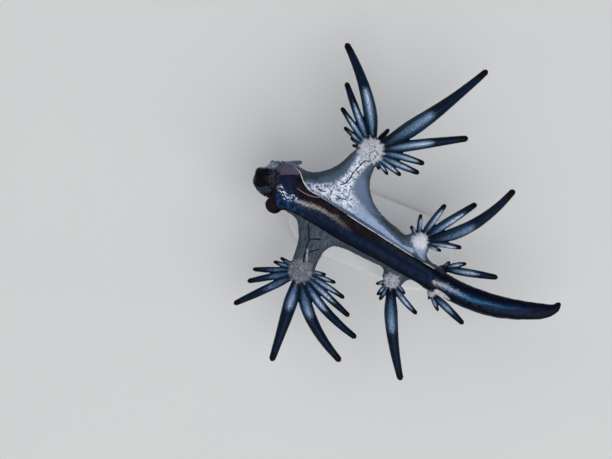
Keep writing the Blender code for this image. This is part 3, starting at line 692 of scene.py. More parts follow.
def feeler_ends(trunk, feeler, side):
    ends = []
    for along, out, up in (feeler.root, feeler.tip):
        ring = ring_near(trunk, along)
        ahead = np.array((along - ring.centre[0], 0, 0))
        ends.append(ring.centre + ahead + ring.left * out * side + ring.rise * up)
    return ends


def make_field():
    """The whole animal as one field."""
    field = Field(GRID_LOW, GRID_HIGH)
    trunk = body_rings(TRUNK)
    field.join(swept_pieces(trunk, swept_distance, TOP_SQUARENESS, REACH), FILLETS["trunk"])
    field.join(swept_pieces(body_rings(TAIL), swept_distance, TAIL_SQUARENESS, REACH), FILLETS["tail"])
    for name, arm in ARMS.items():
        fillet = FILLETS["front_arm" if name.startswith("front") else "arm"]
        field.join(swept_pieces(arm_rings(arm), swept_distance, ARM_SQUARENESS, REACH), fillet)
    bulb = np.array(BULB_CENTRE) + LIFT
    field.join([ellipsoid_piece(bulb, PLAIN_AXES, BULB_SIZE, MARGINS["bulb"])], FILLETS["bulb"])
    mouth = bulb - (BULB_SIZE[0], 0, 0)
    lips = mouth + (LIP_SINK, 0, 0)
    low, high = lips - MARGINS["lips"], lips + MARGINS["lips"]
    field.join([(low, high, lambda p: ring_distance(p, lips, LIP_RADIUS, LIP_THICK))], FILLETS["lips"])
    field.cut([ellipsoid_piece(mouth, PLAIN_AXES, SLIT_SIZE, MARGINS["mouth"])], FILLETS["mouth"])
    for feeler in FEELERS:
        for side in (1, -1):
            ends = feeler_ends(trunk, feeler, side)
            radii = (feeler.root_radius, feeler.tip_radius)
            field.join(tube_pieces(ends, radii, MARGINS["feeler"]), FILLETS["feeler"])
    sole = [ring for ring in trunk if ring.centre[0] >= FOOT_START]
    field.join(swept_pieces(sole, foot_distance, TOP_SQUARENESS, REACH), FILLETS["foot"])
    field.join(lobe_pieces(trunk, MARGINS["lobe"]), FILLETS["lobe"])
    for name, arm in ARMS.items():
        field.join([disc_piece(arm)], FILLETS["disc"])
        for ceras in CERATA[name]:
            points, radii, _ = ceras_line(arm, ceras)
            field.join(tube_pieces(points, radii, MARGINS["ceras"]), FILLETS["ceras"])
    return field


def skin_points(field):
    """A mesh on the field's zero level: one point in each cell that the skin passes through."""
    values = field.values
    inside = values < 0
    shape = np.array(values.shape) - 1

    def corner(array, step):
        return array[tuple(slice(s, s + n) for s, n in zip(step, shape))]

    count = sum(corner(inside, step).astype(np.int8) for step in CORNERS)
    cells = np.flatnonzero((count > 0) & (count < 8))
    corners = {step: corner(values, step).reshape(-1)[cells] for step in CORNERS}
    total = np.zeros((len(cells), 3), dtype=np.float32)
    crossings = np.zeros(len(cells), dtype=np.float32)
    for step in CORNERS:
        for axis in range(3):
            if step[axis]:
                continue
            other = tuple(1 if i == axis else s for i, s in enumerate(step))
            a = corners[step]
            b = corners[other]
            crossed = (a < 0) != (b < 0)
            share = np.where(crossed, a / np.where(crossed, a - b, 1), 0)
            for i in range(3):
                total[:, i] += crossed * (share if i == axis else step[i])
            crossings += crossed
    where = np.stack(np.unravel_index(cells, shape), axis=1)
    origin = np.array([axis[0] for axis in field.axes])
    points = origin + (where + total / crossings[:, None]) * CELL
    number = np.full(int(np.prod(shape)), -1, dtype=np.int64)
    number[cells] = np.arange(len(cells))
    number = number.reshape(shape)
    quads = []
    for axis in range(3):
        u, v = [i for i in range(3) if i != axis]
        low = tuple(slice(0, n) if i == axis else slice(1, n) for i, n in enumerate(shape))
        high = tuple(slice(1, n + 1) if i == axis else slice(1, n) for i, n in enumerate(shape))
        a = inside[low]
        b = inside[high]
        for before, turned in ((True, axis == 1), (False, axis != 1)):
            edges = np.argwhere((a == before) & (b != before))
            base = edges + np.array([0 if i == axis else 1 for i in range(3)])
            steps_back = []
            for du, dv in ((0, 0), (1, 0), (1, 1), (0, 1)):
                at = base.copy()
                at[:, u] -= du
                at[:, v] -= dv
                steps_back.append(number[at[:, 0], at[:, 1], at[:, 2]])
            quad = np.stack(steps_back, axis=1)
            quads.append(quad[:, ::-1] if turned else quad)
    return points, np.concatenate(quads)


def sample(field, points):
    """The field between its grid points, and its slope."""
    origin = np.array([axis[0] for axis in field.axes])
    at = (points - origin) / CELL
    base = np.floor(at).astype(int)
    value = np.zeros(len(points))
    slope = np.zeros((len(points), 3))
    for step in CORNERS:
        corner = field.values[tuple((base + step).T)]
        weights = np.where(step, at - base, 1 - (at - base))
        value += corner * weights.prod(axis=1)
        for i in range(3):
            others = weights[:, i - 1] * weights[:, i - 2]
            slope[:, i] += corner * others * (1 if step[i] else -1)
    return value, slope / CELL


def relaxed(points, quads):
    """Evens the points out along the skin."""
    ends = np.concatenate([quads, np.roll(quads, -1, axis=1)]).reshape(-1)
    others = np.concatenate([np.roll(quads, -1, axis=1), quads]).reshape(-1)
    count = np.bincount(ends, minlength=len(points))[:, None]
    for _ in range(RELAX_ROUNDS):
        mean = np.stack([np.bincount(ends, points[others, i], len(points)) for i in range(3)], axis=1) / count
        points = lerp(points, mean, RELAX_SHARE)
    return points


def onto_skin(field, points):
    for _ in range(ONTO_SKIN_ROUNDS):
        value, slope = sample(field, points)
        size = np.maximum((slope**2).sum(axis=1), LEAST_SLOPE)
        points = points - slope * (value / size)[:, None]
    return points


def to_line(points, line):
    """In plan, the distance to a line, negative on its right, and the line's last value there."""
    best = np.full(len(points), np.inf)
    third = np.zeros(len(points))
    for near, far in zip(line, line[1:]):
        a = np.array(near[:2])
        axis = np.array(far[:2]) - a
        offset = points[:, :2] - a
        t = np.clip(offset @ axis / (axis @ axis), 0, 1)
        distance = np.linalg.norm(offset - t[:, None] * axis, axis=1)
        left = axis[0] * offset[:, 1] - axis[1] * offset[:, 0] > 0
        closer = distance < np.abs(best)
        best = np.where(closer, np.where(left, distance, -distance), best)
        third = np.where(closer, lerp(near[-1], far[-1], t), third)
    return best, third


def band_mark(points, bands):
    """1 along the middle of the nearest band, 0 at its edges and less beyond them."""
    best = np.full(len(points), FAR_OFF)
    for band in bands:
        distance, half_width = to_line(points, band)
        best = np.maximum(best, 1 - np.abs(distance) / half_width)
    return best


def line_mark(points, lines):
    """The signed distance to the nearest of some thin lines, and 1 where that line is near."""
    best = np.full(len(points), OUTSIDE)
    for line in lines:
        distance, _ = to_line(points, line)
        best = np.where(np.abs(distance) < np.abs(best), distance, best)
    return np.clip(best, -1, 1), (np.abs(best) < LINE_NEAR).astype(float)


def smooth_step(low, high, value):
    t = np.clip((value - low) / (high - low), 0, 1)
    return t * t * (3 - 2 * t)


def body_place(points, rings):
    """The nearest stretch of body to each point: where it is along X, across and up, and its sizes there."""
    best = np.full(len(points), np.inf)
    found = dict.fromkeys(("x", "across", "height", "half_width", "foot", "up", "down"), 0.0)
    columns = points.T
    for near, far in zip(rings, rings[1:]):
        t, past, across, height = placed(columns, near, far)
        off = across**2 + height**2 + (past * PAST_WEIGHT) ** 2
        closer = off < best
        best = np.where(closer, off, best)
        values = {"x": lerp(near.centre[0], far.centre[0], t), "across": across, "height": height}
        for name in ("half_width", "foot", "up", "down"):
            values[name] = lerp(getattr(near, name), getattr(far, name), t)
        for name, value in values.items():
            found[name] = np.where(closer, value, found[name])
    return found


def shape_distance(points, pieces):
    best = np.full(len(points), OUTSIDE)
    for low, high, distance in pieces:
        near = np.all((points > low) & (points < high), axis=1)
        if near.any():
            best[near] = np.minimum(best[near], distance(points[near].T))
    return best


def ceras_marks(points):
    """What the skin's colours need to know about the cerata."""
    count = len(points)
    rest = np.full(count, OUTSIDE)
    for name, arm in ARMS.items():
        pieces = swept_pieces(arm_rings(arm), swept_distance, ARM_SQUARENESS, REACH) + [disc_piece(arm)]
        depth = DARK_DISC_DEPTH if name == DARK_DISC else 0.0
        rest = np.minimum(rest, shape_distance(points, pieces) + depth)
    best = np.full(count, OUTSIDE)
    second = np.full(count, OUTSIDE)
    marks = {name: np.full(count, value) for name, value in (
        ("share", 0.0), ("ridge", -1.0), ("distal", FAR_OFF), ("tip", FAR_OFF), ("silver", 0.0),
        ("aside", 0.0), ("along", 0.0), ("around", 0.0),
    )}
    for name, arm in ARMS.items():
        for ceras in CERATA[name]:
            line, radii, shares = ceras_line(arm, ceras)
            low = line.min(axis=0) - ceras.radius - CERAS_BOX
            high = line.max(axis=0) + ceras.radius + CERAS_BOX
            near = np.flatnonzero(np.all((points > low) & (points < high), axis=1))
            local = points[near]
            least = np.full(len(near), OUTSIDE)
            share = np.zeros(len(near))
            aside = np.zeros(len(near))
            above = np.zeros(len(near))
            for i in range(CERAS_STEPS):
                axis = line[i + 1] - line[i]
                offset = local - line[i]
                t = np.clip(offset @ axis / (axis @ axis), 0, 1)
                radius = lerp(radii[i], radii[i + 1], t)
                out = offset - t[:, None] * axis
                distance = np.linalg.norm(out, axis=1) - radius
                closer = distance < least
                side = unit(np.cross((0, 0, 1), axis))
                least = np.where(closer, distance, least)
                share = np.where(closer, lerp(shares[i], shares[i + 1], t), share)
                aside = np.where(closer, out @ side / (radius + 0.05), aside)
                above = np.where(closer, out[:, 2], above)
            length = np.linalg.norm(np.diff(line, axis=0), axis=1).sum()
            grown = np.clip(share / ceras.streak_end, 0, 1)
            left = np.interp(ceras.radius, STREAK_RADII, (STREAK_END_SLIM, STREAK_END_STOUT))
            narrowed = lerp(1, left, smooth_step(STREAK_NARROWS, 1, grown))
            wide = lerp(STREAK_ROOT, STREAK_WIDTH, grown) * narrowed + STREAK_LEAST / ceras.radius
            ridge = 1 - np.abs(aside - STREAK_ASIDE.get(name, 0.0)) / wide
            bright = smooth_step(ceras.streak_start - STREAK_DAWN, ceras.streak_end, share)
            bright = lerp(STREAK_DIMMEST, 1, bright)
            bright = bright * smooth_step(0.0, ceras.streak_start, share)
            tip = (share - 1) * length + TIP_BASE + TIP_SHARE * length
            if ceras.silver == 0:
                tip = np.ones(len(near))
            taken = least < best[near]
            second[near] = np.where(taken, best[near], np.minimum(second[near], least))
            spots = near[taken]
            best[spots] = least[taken]
            for mark, values in (
                ("share", share),
                ("ridge", np.where(above > 0, np.clip(ridge, -1, 1), -1)),
                ("aside", np.clip(np.abs(aside), 0, 1)),
                ("distal", (share - ceras.streak_end) * length),
                ("tip", tip),
                ("silver", ceras.silver * bright),
                ("along", share * length + ceras.root),
                ("around", aside * ceras.radius),
            ):
                marks[mark][spots] = values[taken]
    marks["ceras"] = smooth_step(*CERAS_BLEND, rest - best) * (best < CERAS_NEAR)
    # Where two cerata lie close, the gap between them is marked to be painted dark as shade.
    gap = smooth_step(CREVICE_WIDTH, CREVICE_MIDDLE, second - best) * smooth_step(*CREVICE_NEAR, second)
    marks["crevice"] = gap * marks["ceras"]
    return marks


def disc_marks(points):
    """Inside the pale top of a disc: distance to its toothed edge, how far out, rays and its tone."""
    count = len(points)
    marks = {
        "disc": np.full(count, -OUTSIDE), "disc_out": np.ones(count), "rays": np.zeros(count),
        "disc_tone": np.zeros(count),
    }
    for name, arm in ARMS.items():
        offset = points[:, :2] - np.array(arm.disc_centre[:2])
        turn = np.arctan2(offset[:, 1], offset[:, 0]) + arm.disc_centre[0]
        out = np.linalg.norm(offset, axis=1) / arm.disc_radius
        waves = [(reach, np.abs(np.sin(number * turn / 2 + phase))) for number, reach, phase in TEETH]
        teeth = sum(reach * (1 - 2 * wave) for reach, wave in waves)
        inside = (DISC_REACH + teeth - out) * arm.disc_radius
        high = points[:, 2] > arm.disc_centre[2] + BODY_HEIGHT + DISC_TOP * arm.disc_height
        inside = np.where(high & (name != DARK_DISC), inside, -OUTSIDE)
        nearer = inside > marks["disc"]
        sway = RAY_SWAY * np.sin(RAY_SWAYS * turn)
        rays = lerp(np.sin(RAYS * turn + sway), np.sin(FINE_RAYS * turn + 1), FINE_RAY_SHARE)
        tone = DISC_TONES.get(name, 0.0)
        found = {"disc": inside, "disc_out": np.clip(out, 0, 1), "rays": rays, "disc_tone": tone}
        for mark, values in found.items():
            marks[mark] = np.where(nearer, values, marks[mark])
    return marks


def foot_marks(points, at, trunk):
    """How far inside the foot's rim each point is, less down its outer wall, and the margin's marks."""
    on_trunk = (at["x"] < TRUNK_END) & (at["x"] > FOOT_START) & (at["height"] > FOOT_FROM_HEIGHT)
    share = np.minimum(np.abs(at["across"]) / at["half_width"], FOOT_REST)
    belly_height = at["up"] * (1 - share**TOP_SQUARENESS) ** (1 / TOP_SQUARENESS)
    below_top = np.minimum(at["height"] - belly_height - GAP - FOOT_THICK + FOOT_TOP_SLACK, 0)
    foot = np.where(on_trunk, at["foot"] - np.abs(at["across"]) + below_top, -1.0)
    lower = smooth_step(TRUNK_END, TAIL_DARK_ALL_ROUND, at["x"])
    tail_side = at["height"] / at["down"] + lerp(*TAIL_SIDES, lower)
    body_reach = at["half_width"] * TAIL_REACH - np.abs(at["across"])
    foot = np.where(at["x"] >= TRUNK_END, np.minimum(tail_side, body_reach), foot)
    lobes = shape_distance(points, lobe_pieces(trunk, LOBE_NEAR))
    near = np.zeros(len(points))
    for start, end in MARGIN_STRETCHES:
        rise = smooth_step(start, start + MARGIN_FADE, at["x"])
        near = np.maximum(near, rise * smooth_step(end, end - MARGIN_FADE, at["x"]))
    return {
        "foot": np.clip(np.maximum(foot, np.where(lobes < LOBE_SKIN, LOBE_INSIDE, -1)), -1, 2),
        "margin": np.clip(np.where(at["across"] > 0, foot, 1), -1, 1),
        "margin_near": near * on_trunk,
    }


def make_marks(points, normals):
    """Every value that the skin's material reads, one for each point of the skin."""
    trunk = body_rings(TRUNK)
    tail = body_rings(TAIL)
    rings = [r for r in trunk if r.centre[0] < TRUNK_END] + [r for r in tail if r.centre[0] > TRUNK_END]
    at = body_place(points, rings)
    marks = ceras_marks(points)
    marks.update(foot_marks(points, at, trunk))
    marks.update(disc_marks(points))
    marks["side"] = np.clip(at["across"] / np.maximum(at["foot"], LEAST_FOOT), -SIDE_LIMIT, SIDE_LIMIT)
    marks["body_x"] = at["x"]
    marks["left"] = smooth_step(*LEFT_SIDE, at["across"])
    for name, bands in BANDS.items():
        marks[name] = band_mark(points, bands)
    marks["patch"] = marks["patch"] + FAR_OFF * smooth_step(*BELOW_PATCH, at["height"])
    for name, lines in LINES.items():
        marks[name], marks[name + "_near"] = line_mark(points, lines)
    marks["under"] = smooth_step(*FACING_DOWN, normals[:, 2])
    # Painted shade: sides whose normals turn away from straight up, away from the foot, are marked to be
    # darkened.
    marks["slope"] = smooth_step(*FACING_OUT, normals[:, 2]) * smooth_step(*OFF_FOOT, marks["foot"])
    return marks


def linear(*levels):
    """A colour given as it shows on a screen, red, green and blue from 0 to 255, as the shader wants it."""
    shares = [level / 255 for level in levels]
    return tuple(c / 12.92 if c < 0.0405 else ((c + 0.055) / 1.055) ** 2.4 for c in shares)


def per_metre(size):
    return 1 / (size * MM)


class Look:
    """Builds a material's nodes. A name given as a value stands for the grains or the mark of that name."""

    def __init__(self, name):
        self.material = bpy.data.materials.new(name)
        self.material.use_nodes = True
        self.tree = self.material.node_tree
        self.shader = self.tree.nodes["Principled BSDF"]
        self.place = self.add("ShaderNodeTexCoord").outputs["Object"]
        self.grains = {}

    def add(self, kind, **settings):
        node = self.tree.nodes.new(kind)
        for name, value in settings.items():
            setattr(node, name, value)
        return node

    def feed(self, socket, value):
        if isinstance(value, str) and value in self.grains:
            value = self.grains[value]
        elif isinstance(value, str):
            value = self.add("ShaderNodeAttribute", attribute_name=value).outputs["Fac"]
        if isinstance(value, bpy.types.NodeSocket):
            self.tree.links.new(value, socket)
        elif isinstance(value, tuple) and len(value) == 3:
            socket.default_value = (*value, 1.0)
        else:
            socket.default_value = value

    def math(self, operation, a, b=0.0):
        node = self.add("ShaderNodeMath", operation=operation)
        self.feed(node.inputs[0], a)
        self.feed(node.inputs[1], b)
        return node.outputs[0]

    def product(self, first, *others):
        for other in others:
            first = self.math("MULTIPLY", first, other)
        return first

    def step(self, low, high, value):
        """0 below low, 1 above high, smooth between them."""
        node = self.add("ShaderNodeMapRange", interpolation_type="SMOOTHSTEP")
        self.feed(node.inputs["Value"], value)
        self.feed(node.inputs["From Min"], low)
        self.feed(node.inputs["From Max"], high)
        return node.outputs[0]

    def over(self, under, top, *shares):
        """A colour with another on top of it, as far as the product of the shares says."""
        node = self.add("ShaderNodeMix", data_type="RGBA")
        self.feed(node.inputs[0], self.product(*shares))
        self.feed(node.inputs[6], under)
        self.feed(node.inputs[7], top)
        return node.outputs[2]

    def texture(self, kind, place, scale, output=0, **settings):
        node = self.add("ShaderNodeTex" + kind, **settings)
        self.feed(node.inputs["Vector"], place)
        self.feed(node.inputs["Scale"], scale)
        return node.outputs[output]

    def noise(self, size, detail, seed):
        """Noise about 0.5, with patches of about this size."""
        found = self.texture("Noise", self.place, per_metre(size), noise_dimensions="4D")
        self.feed(found.node.inputs["W"], seed)
        self.feed(found.node.inputs["Detail"], detail)
        return found

    def strands(self, length, width):
        """Noise about 0.5, drawn out along each ceras."""
        place = self.add("ShaderNodeCombineXYZ")
        self.feed(place.inputs["X"], self.product("along", 1 / length))
        self.feed(place.inputs["Y"], self.product("around", 1 / width))
        return self.texture("Noise", place.outputs[0], 1.0)

    def stretched(self, along, across, turn=0):
        """Noise about 0.5, with patches of this size, and their long side turned this far in plan."""
        place = self.add("ShaderNodeMapping", vector_type="TEXTURE")
        self.feed(place.inputs["Vector"], self.place)
        place.inputs["Rotation"].default_value = (0, 0, math.radians(turn))
        place.inputs["Scale"].default_value = (along * MM, across * MM, across * MM)
        return self.texture("Noise", place.outputs[0], 1.0)

    def cells(self, size, output="Distance"):
        """A pattern of cells of about this size: the distance in each, or a random shade for each."""
        return self.texture("Voronoi", self.place, per_metre(size), output)

    def seams(self, size, shake_size, shake):
        """Distance to the edges between cells of about this size, whose places are shaken by noise."""
        place = self.add("ShaderNodeVectorMath", operation="MULTIPLY_ADD")
        self.feed(place.inputs[0], self.texture("Noise", self.place, per_metre(shake_size), "Color"))
        place.inputs[1].default_value = (shake * MM,) * 3
        self.feed(place.inputs[2], self.place)
        scale = per_metre(size)
        return self.texture("Voronoi", place.outputs[0], scale, "Distance", feature="DISTANCE_TO_EDGE")

    def ragged(self, mark, **amounts):
        """A mark whose edge is broken up by this much of each of the grains named."""
        for name, amount in amounts.items():
            mark = self.math("ADD", mark, self.product(self.math("SUBTRACT", name, 0.5), amount))
        return mark

    def line(self, name, half_width, amount):
        """1 along a thin line whose signed distance is in the mark of this name."""
        distance = self.math("ABSOLUTE", self.ragged(name, fine=amount))
        return self.product(self.step(half_width, half_width * 0.4, distance), name + "_near")

    def finish(self, colour, grain, smoothest, roughest, height, depth, strength):
        """Feeds the shader: its colour, roughness that follows a grain, and a bump of this depth."""
        rough = self.add("ShaderNodeMapRange")
        self.feed(rough.inputs["Value"], grain)
        self.feed(rough.inputs["To Min"], smoothest)
        self.feed(rough.inputs["To Max"], roughest)
        bump = self.add("ShaderNodeBump")
        self.feed(bump.inputs["Height"], height)
        self.feed(bump.inputs["Distance"], depth * MM)
        self.feed(bump.inputs["Strength"], strength)
        self.feed(self.shader.inputs["Base Color"], colour)
        self.feed(self.shader.inputs["Roughness"], rough.outputs[0])
        self.feed(self.shader.inputs["Normal"], bump.outputs[0])


WHITE = linear(230, 238, 253)
SILVER = linear(142, 163, 200)
PLAIN_SILVER = linear(176, 192, 218)
PALE_BLUE = linear(103, 122, 149)
BLUE_GREY = linear(80, 98, 119)
SLATE = linear(46, 60, 74)
DULL_SLATE = linear(62, 78, 96)
SLOPE_SHADE = linear(52, 60, 68)
ARM_GREY = linear(84, 92, 104)
SPECK = linear(18, 26, 42)
CRACK = linear(4, 5, 10)
UNDER_SILVER = linear(168, 180, 198)
DISC_WHITE = linear(222, 225, 234)
DISC_GREY = linear(112, 112, 116)
DISC_PALE = linear(168, 172, 184)
DISC_BROWN = linear(84, 76, 72)
CERAS_ROOT = linear(4, 11, 26)
CERAS_SIDE = linear(26, 54, 80)
CERAS_NAVY = linear(4, 19, 40)
CERAS_FLECK = linear(22, 54, 80)
CERAS_TIP = linear(8, 4, 7)
CERAS_EDGE_AND_GAP_SHADE = linear(3, 7, 18)
STREAK = linear(98, 124, 156)
FOOT_NAVY = linear(2, 9, 28)
FOOT_BLUE = linear(3, 21, 48)
FOOT_BRIGHT = linear(4, 56, 104)
FOOT_MAROON = linear(18, 8, 15)
FOOT_EDGE = linear(3, 4, 9)
LOBE_LEFT_HIGHLIGHT = linear(74, 70, 88)
LOBE_RIGHT = linear(30, 11, 18)
INNER_LINE = linear(150, 138, 152)
# SHEEN is the colour of the painted highlights on the foot and at the front of the tail.
SHEEN = linear(178, 170, 168)
TAIL_BLUE = linear(4, 32, 68)
# The next two are the colours of the painted highlight along the tail.
TAIL_SHEEN_TEAL = linear(50, 104, 140)
TAIL_SHEEN_PALE = linear(140, 158, 182)
PATCH = linear(214, 208, 214)
SNOUT = linear(3, 3, 7)
CHEEK = linear(64, 78, 104)
HEAD_DARK = linear(16, 9, 17)
HOOD = linear(92, 106, 134)
STONE_SIZE = 0.27
VEIN_SIZE = 0.34
DOT_SIZE = 0.17


def flank_colour(look):
    """Flanks and arms: slate, silver along the bands, where dark specks part white grains at the front."""
    over, step, ragged = look.over, look.step, look.ragged
    band = ragged("band", middle=0.6)
    strokes = ragged(look.stretched(0.16, 0.9), fine=0.5)
    colour = over(SLATE, DULL_SLATE, step(0.35, 0.65, strokes))
    colour = over(colour, BLUE_GREY, step(-1.4, -0.4, band))
    # Painted light: the paler blue grey on the side of the front left arm turned to the light.
    colour = over(colour, PALE_BLUE, step(-0.6, 0.4, ragged("pale", middle=0.4)))
    front = step(-2.4, -4.4, "body_x")
    stones = over(SILVER, WHITE, step(0.15, 0.45, look.cells(STONE_SIZE, "Color")))
    plain = over(SILVER, PLAIN_SILVER, step(0.40, 0.65, "fine"))
    colour = over(colour, over(plain, stones, front), step(-0.25, 0.4, ragged(band, fine=1.0)))
    seams = step(0.16, 0.04, look.seams(STONE_SIZE, 0.3, 0.25))
    colour = over(colour, SPECK, seams, step(0.45, 0.56, "middle"), front, step(-0.5, 0.4, band), 0.9)
    colour = over(colour, SPECK, step(0.60, 0.68, "fine"), step(-1.0, 0.2, band), 0.8)
    colour = over(over(SLATE, ARM_GREY, step(0.30, 0.70, strokes)), colour, "left")
    colour = over(colour, DISC_WHITE, step(0.1, 1.1, ragged("right_ridge", fine=1.8, finer=1.6)), 0.6)
    # Painted shade: the steep sides of the flanks and arms are darkened.
    return over(colour, SLOPE_SHADE, "slope", 0.85)


def disc_colour(look):
    """Discs: pale, with fine cracks near the middle and rays at the edge."""
    over, step = look.over, look.step
    dull = step(1.15, 0.75, "disc_tone")
    colour = over(DISC_GREY, DISC_WHITE, "disc_tone")
    colour = over(colour, DISC_BROWN, step(0.50, 0.40, "middle"), step(0.4, 0.1, "disc_tone"), 0.6)
    bright = step(0.50, 0.64, look.ragged("middle", fine=0.6))
    colour = over(colour, DISC_PALE, bright, 0.8, step(0.9, 0.3, "disc_tone"))
    colour = over(colour, PALE_BLUE, step(0.42, 0.62, "fine"), 0.5, dull)
    veins = step(0.11, 0.01, look.seams(VEIN_SIZE, 0.35, 0.5))
    colour = over(colour, SPECK, veins, step(0.42, 0.56, "middle"), step(0.95, 0.35, "disc_out"), dull, 0.9)
    colour = over(colour, BLUE_GREY, step(0.15, 0.8, "rays"), step(0.55, 1.0, "disc_out"), 0.6)
    return over(colour, SLATE, step(0.58, 0.70, "finer"), 0.45)


def ceras_colour(look):
    """Cerata: dark at the root, teal at the sides, a silver ridge on top, then navy with a black tip."""
    over, step, ragged = look.over, look.step, look.ragged
    look.grains["strands"] = look.strands(0.6, 0.10)
    colour = over(CERAS_ROOT, CERAS_SIDE, step(0.06, 0.36, ragged("share", strands=0.25)))
    distal = ragged("distal", middle=0.8)
    colour = over(colour, CERAS_NAVY, step(-0.8, 0.5, distal))
    colour = over(colour, TAIL_BLUE, step(0.48, 0.66, "strands"), step(0.9, 0.2, "aside"), 0.4)
    flecks = step(0.50, 0.64, ragged("strands", fine=0.8))
    colour = over(colour, CERAS_FLECK, flecks, step(0.0, 0.8, distal), 0.25)
    before_end = step(0.45, -0.55, ragged("distal", fine=1.6, strands=1.4))
    ridge = ragged("ridge", strands=1.0, fine=0.6)
    mottles = look.product(step(0.48, 0.58, "fine"), step(1.0, 0.25, "silver"), 0.85)
    clear = look.math("SUBTRACT", 1.0, mottles)
    colour = over(colour, STREAK, step(-0.35, 0.5, ridge), before_end, clear, step(0.0, 0.6, "silver"))
    core = look.product(step(0.30, 1.0, ridge), step(0.35, 0.95, "silver"))
    colour = over(colour, WHITE, core, step(0.36, 0.60, look.strands(0.25, 0.08)), before_end, clear)
    colour = over(colour, CERAS_EDGE_AND_GAP_SHADE, step(0.62, 0.95, "aside"))
    colour = over(colour, UNDER_SILVER, "under", step(0.85, 0.4, "share"))
    # Painted shade: the gaps between neighbouring cerata are darkened.
    colour = over(colour, CERAS_EDGE_AND_GAP_SHADE, "crevice")
    return over(colour, CERAS_TIP, step(-0.25, 0.15, ragged("tip", middle=0.3)))


def head_colour(look):
    """Head: dark with silver specks behind the snout, under a silver blue hood."""
    over, step, ragged = look.over, look.step, look.ragged
    dots = step(0.42, 0.22, look.cells(DOT_SIZE))
    colour = over(HEAD_DARK, HOOD, step(-0.2, 0.2, "speckled"), dots, 0.7)
    hood = over(BLUE_GREY, HOOD, step(0.35, 0.60, "fine"))
    colour = over(colour, hood, step(-0.15, 0.25, ragged("hood", middle=0.5)))
    colour = over(colour, CHEEK, step(-0.2, 0.6, "cheek"), step(0.38, 0.60, "fine"))
    # Painted glints: white streaks along the hood's front edge.
    rays = step(0.52, 0.64, look.stretched(0.42, 0.09, 75))
    colour = over(colour, WHITE, rays, step(-0.1, 0.5, ragged("hood_glint", fine=0.8)))
    return over(colour, UNDER_SILVER, "under")


def foot_colour(look):
    """Foot: navy, blue along its middle, maroon on its left half, near black along its edges."""
    over, step, ragged = look.over, look.step, look.ragged
    off_middle = look.math("ABSOLUTE", "side")
    blue = over(FOOT_BLUE, TAIL_BLUE, step(6.5, 10.5, "body_x"))
    middle = step(0.85, 0.25, ragged(off_middle, middle=0.5))
    colour = over(FOOT_NAVY, blue, middle, step(23.0, 16.0, "body_x"))
    front = look.product(step(0.3, -0.2, "side"), step(-7.0, -10.0, "body_x"))
    colour = over(colour, FOOT_BRIGHT, front, step(0.46, 0.62, "middle"))
    sparkle = look.product(step(0.57, 0.66, "finer"), step(-4.0, -9.0, "body_x"), step(0.45, 0.10, "side"))
    colour = over(colour, HOOD, sparkle, 0.6)
    maroon = step(0.05, 0.4, ragged("side", middle=0.3))
    colour = over(colour, FOOT_MAROON, maroon, step(3.0, -1.0, "body_x"), step(-10.9, -9.8, "body_x"))
    colour = over(colour, FOOT_EDGE, step(0.70, 0.95, off_middle), step(8.6, 8.0, "body_x"))
    # Painted highlight: a noisy pale glare streak along the middle of the foot.
    sheen = step(0.25, 1.1, ragged("sheen", fine=1.6, finer=1.8))
    colour = over(colour, SHEEN, sheen, step(-1.0, -9.0, "body_x"), 0.85)
    # Painted glints: broken white strokes on the shards at the front of the foot.
    strokes = step(0.52, 0.58, look.stretched(0.40, 0.11, -20))
    colour = over(colour, WHITE, step(-0.1, 0.3, "shards"), strokes)
    # Painted highlight: the glare streak along the tail, pale at its front and teal further back, broken into
    # streaks.
    look.grains["stripes"] = look.stretched(0.5, 0.08, -5)
    stripes = step(0.25, 1.0, ragged("tail_sheen", stripes=1.8, finer=1.6))
    tone = over(SHEEN, TAIL_SHEEN_PALE, step(9.0, 10.6, "body_x"))
    tone = over(tone, TAIL_SHEEN_TEAL, step(11.0, 13.0, "body_x"))
    colour = over(colour, tone, stripes, step(21.0, 12.5, "body_x"))
    # The grey violet top of the left lobe is its maroon with a painted highlight.
    colour = over(colour, LOBE_LEFT_HIGHLIGHT, step(0.0, 0.2, ragged("left_lobe", fine=0.6)))
    colour = over(colour, LOBE_RIGHT, step(0.0, 0.3, ragged("right_lobe", middle=0.4)))
    return over(colour, INNER_LINE, look.line("inner_line", 0.06, 0.03), 0.7)


def make_skin_look():
    look = Look("sea_slug_skin")
    over, step, ragged = look.over, look.step, look.ragged
    look.grains["finer"] = look.noise(0.09, 2.0, 2.0)
    look.grains["fine"] = look.noise(0.16, 2.0, 1.0)
    look.grains["middle"] = look.noise(0.5, 3.0, 3.0)
    bare = look.math("SUBTRACT", 1.0, "ceras")
    colour = over(flank_colour(look), ceras_colour(look), "ceras")
    colour = over(colour, disc_colour(look), step(-0.18, 0.22, ragged("disc", fine=0.9, middle=0.6)))
    cracks = look.line("crack", 0.10, 0.24)
    colour = over(colour, CRACK, cracks)
    colour = over(colour, CRACK, look.line("fine_crack", 0.06, 0.20), 0.8)
    colour = over(colour, UNDER_SILVER, "under", bare)
    on_head = step(-10.6, -11.3, ragged("body_x", middle=0.6))
    colour = over(colour, head_colour(look), on_head, bare)
    colour = over(colour, foot_colour(look), step(-0.03, 0.04, ragged("foot", fine=0.08)))
    colour = over(colour, WHITE, look.line("margin", 0.075, 0.06), step(0.28, 0.45, "middle"))
    patch = step(-0.05, 0.45, ragged("patch", fine=0.9))
    colour = over(colour, PATCH, patch, step(0.66, 0.52, "fine"), 0.9)
    colour = over(colour, SNOUT, step(-0.05, 0.15, ragged("snout", fine=0.6)), bare)
    height = look.math("ADD", "middle", look.product("fine", 0.5))
    height = look.math("SUBTRACT", height, look.product(cracks, 0.6))
    look.finish(colour, "middle", 0.20, 0.38, height, 0.08, 0.5)
    look.feed(look.shader.inputs["Specular IOR Level"], 0.14)
    look.feed(look.shader.inputs["IOR"], 1.36)
    return look.material


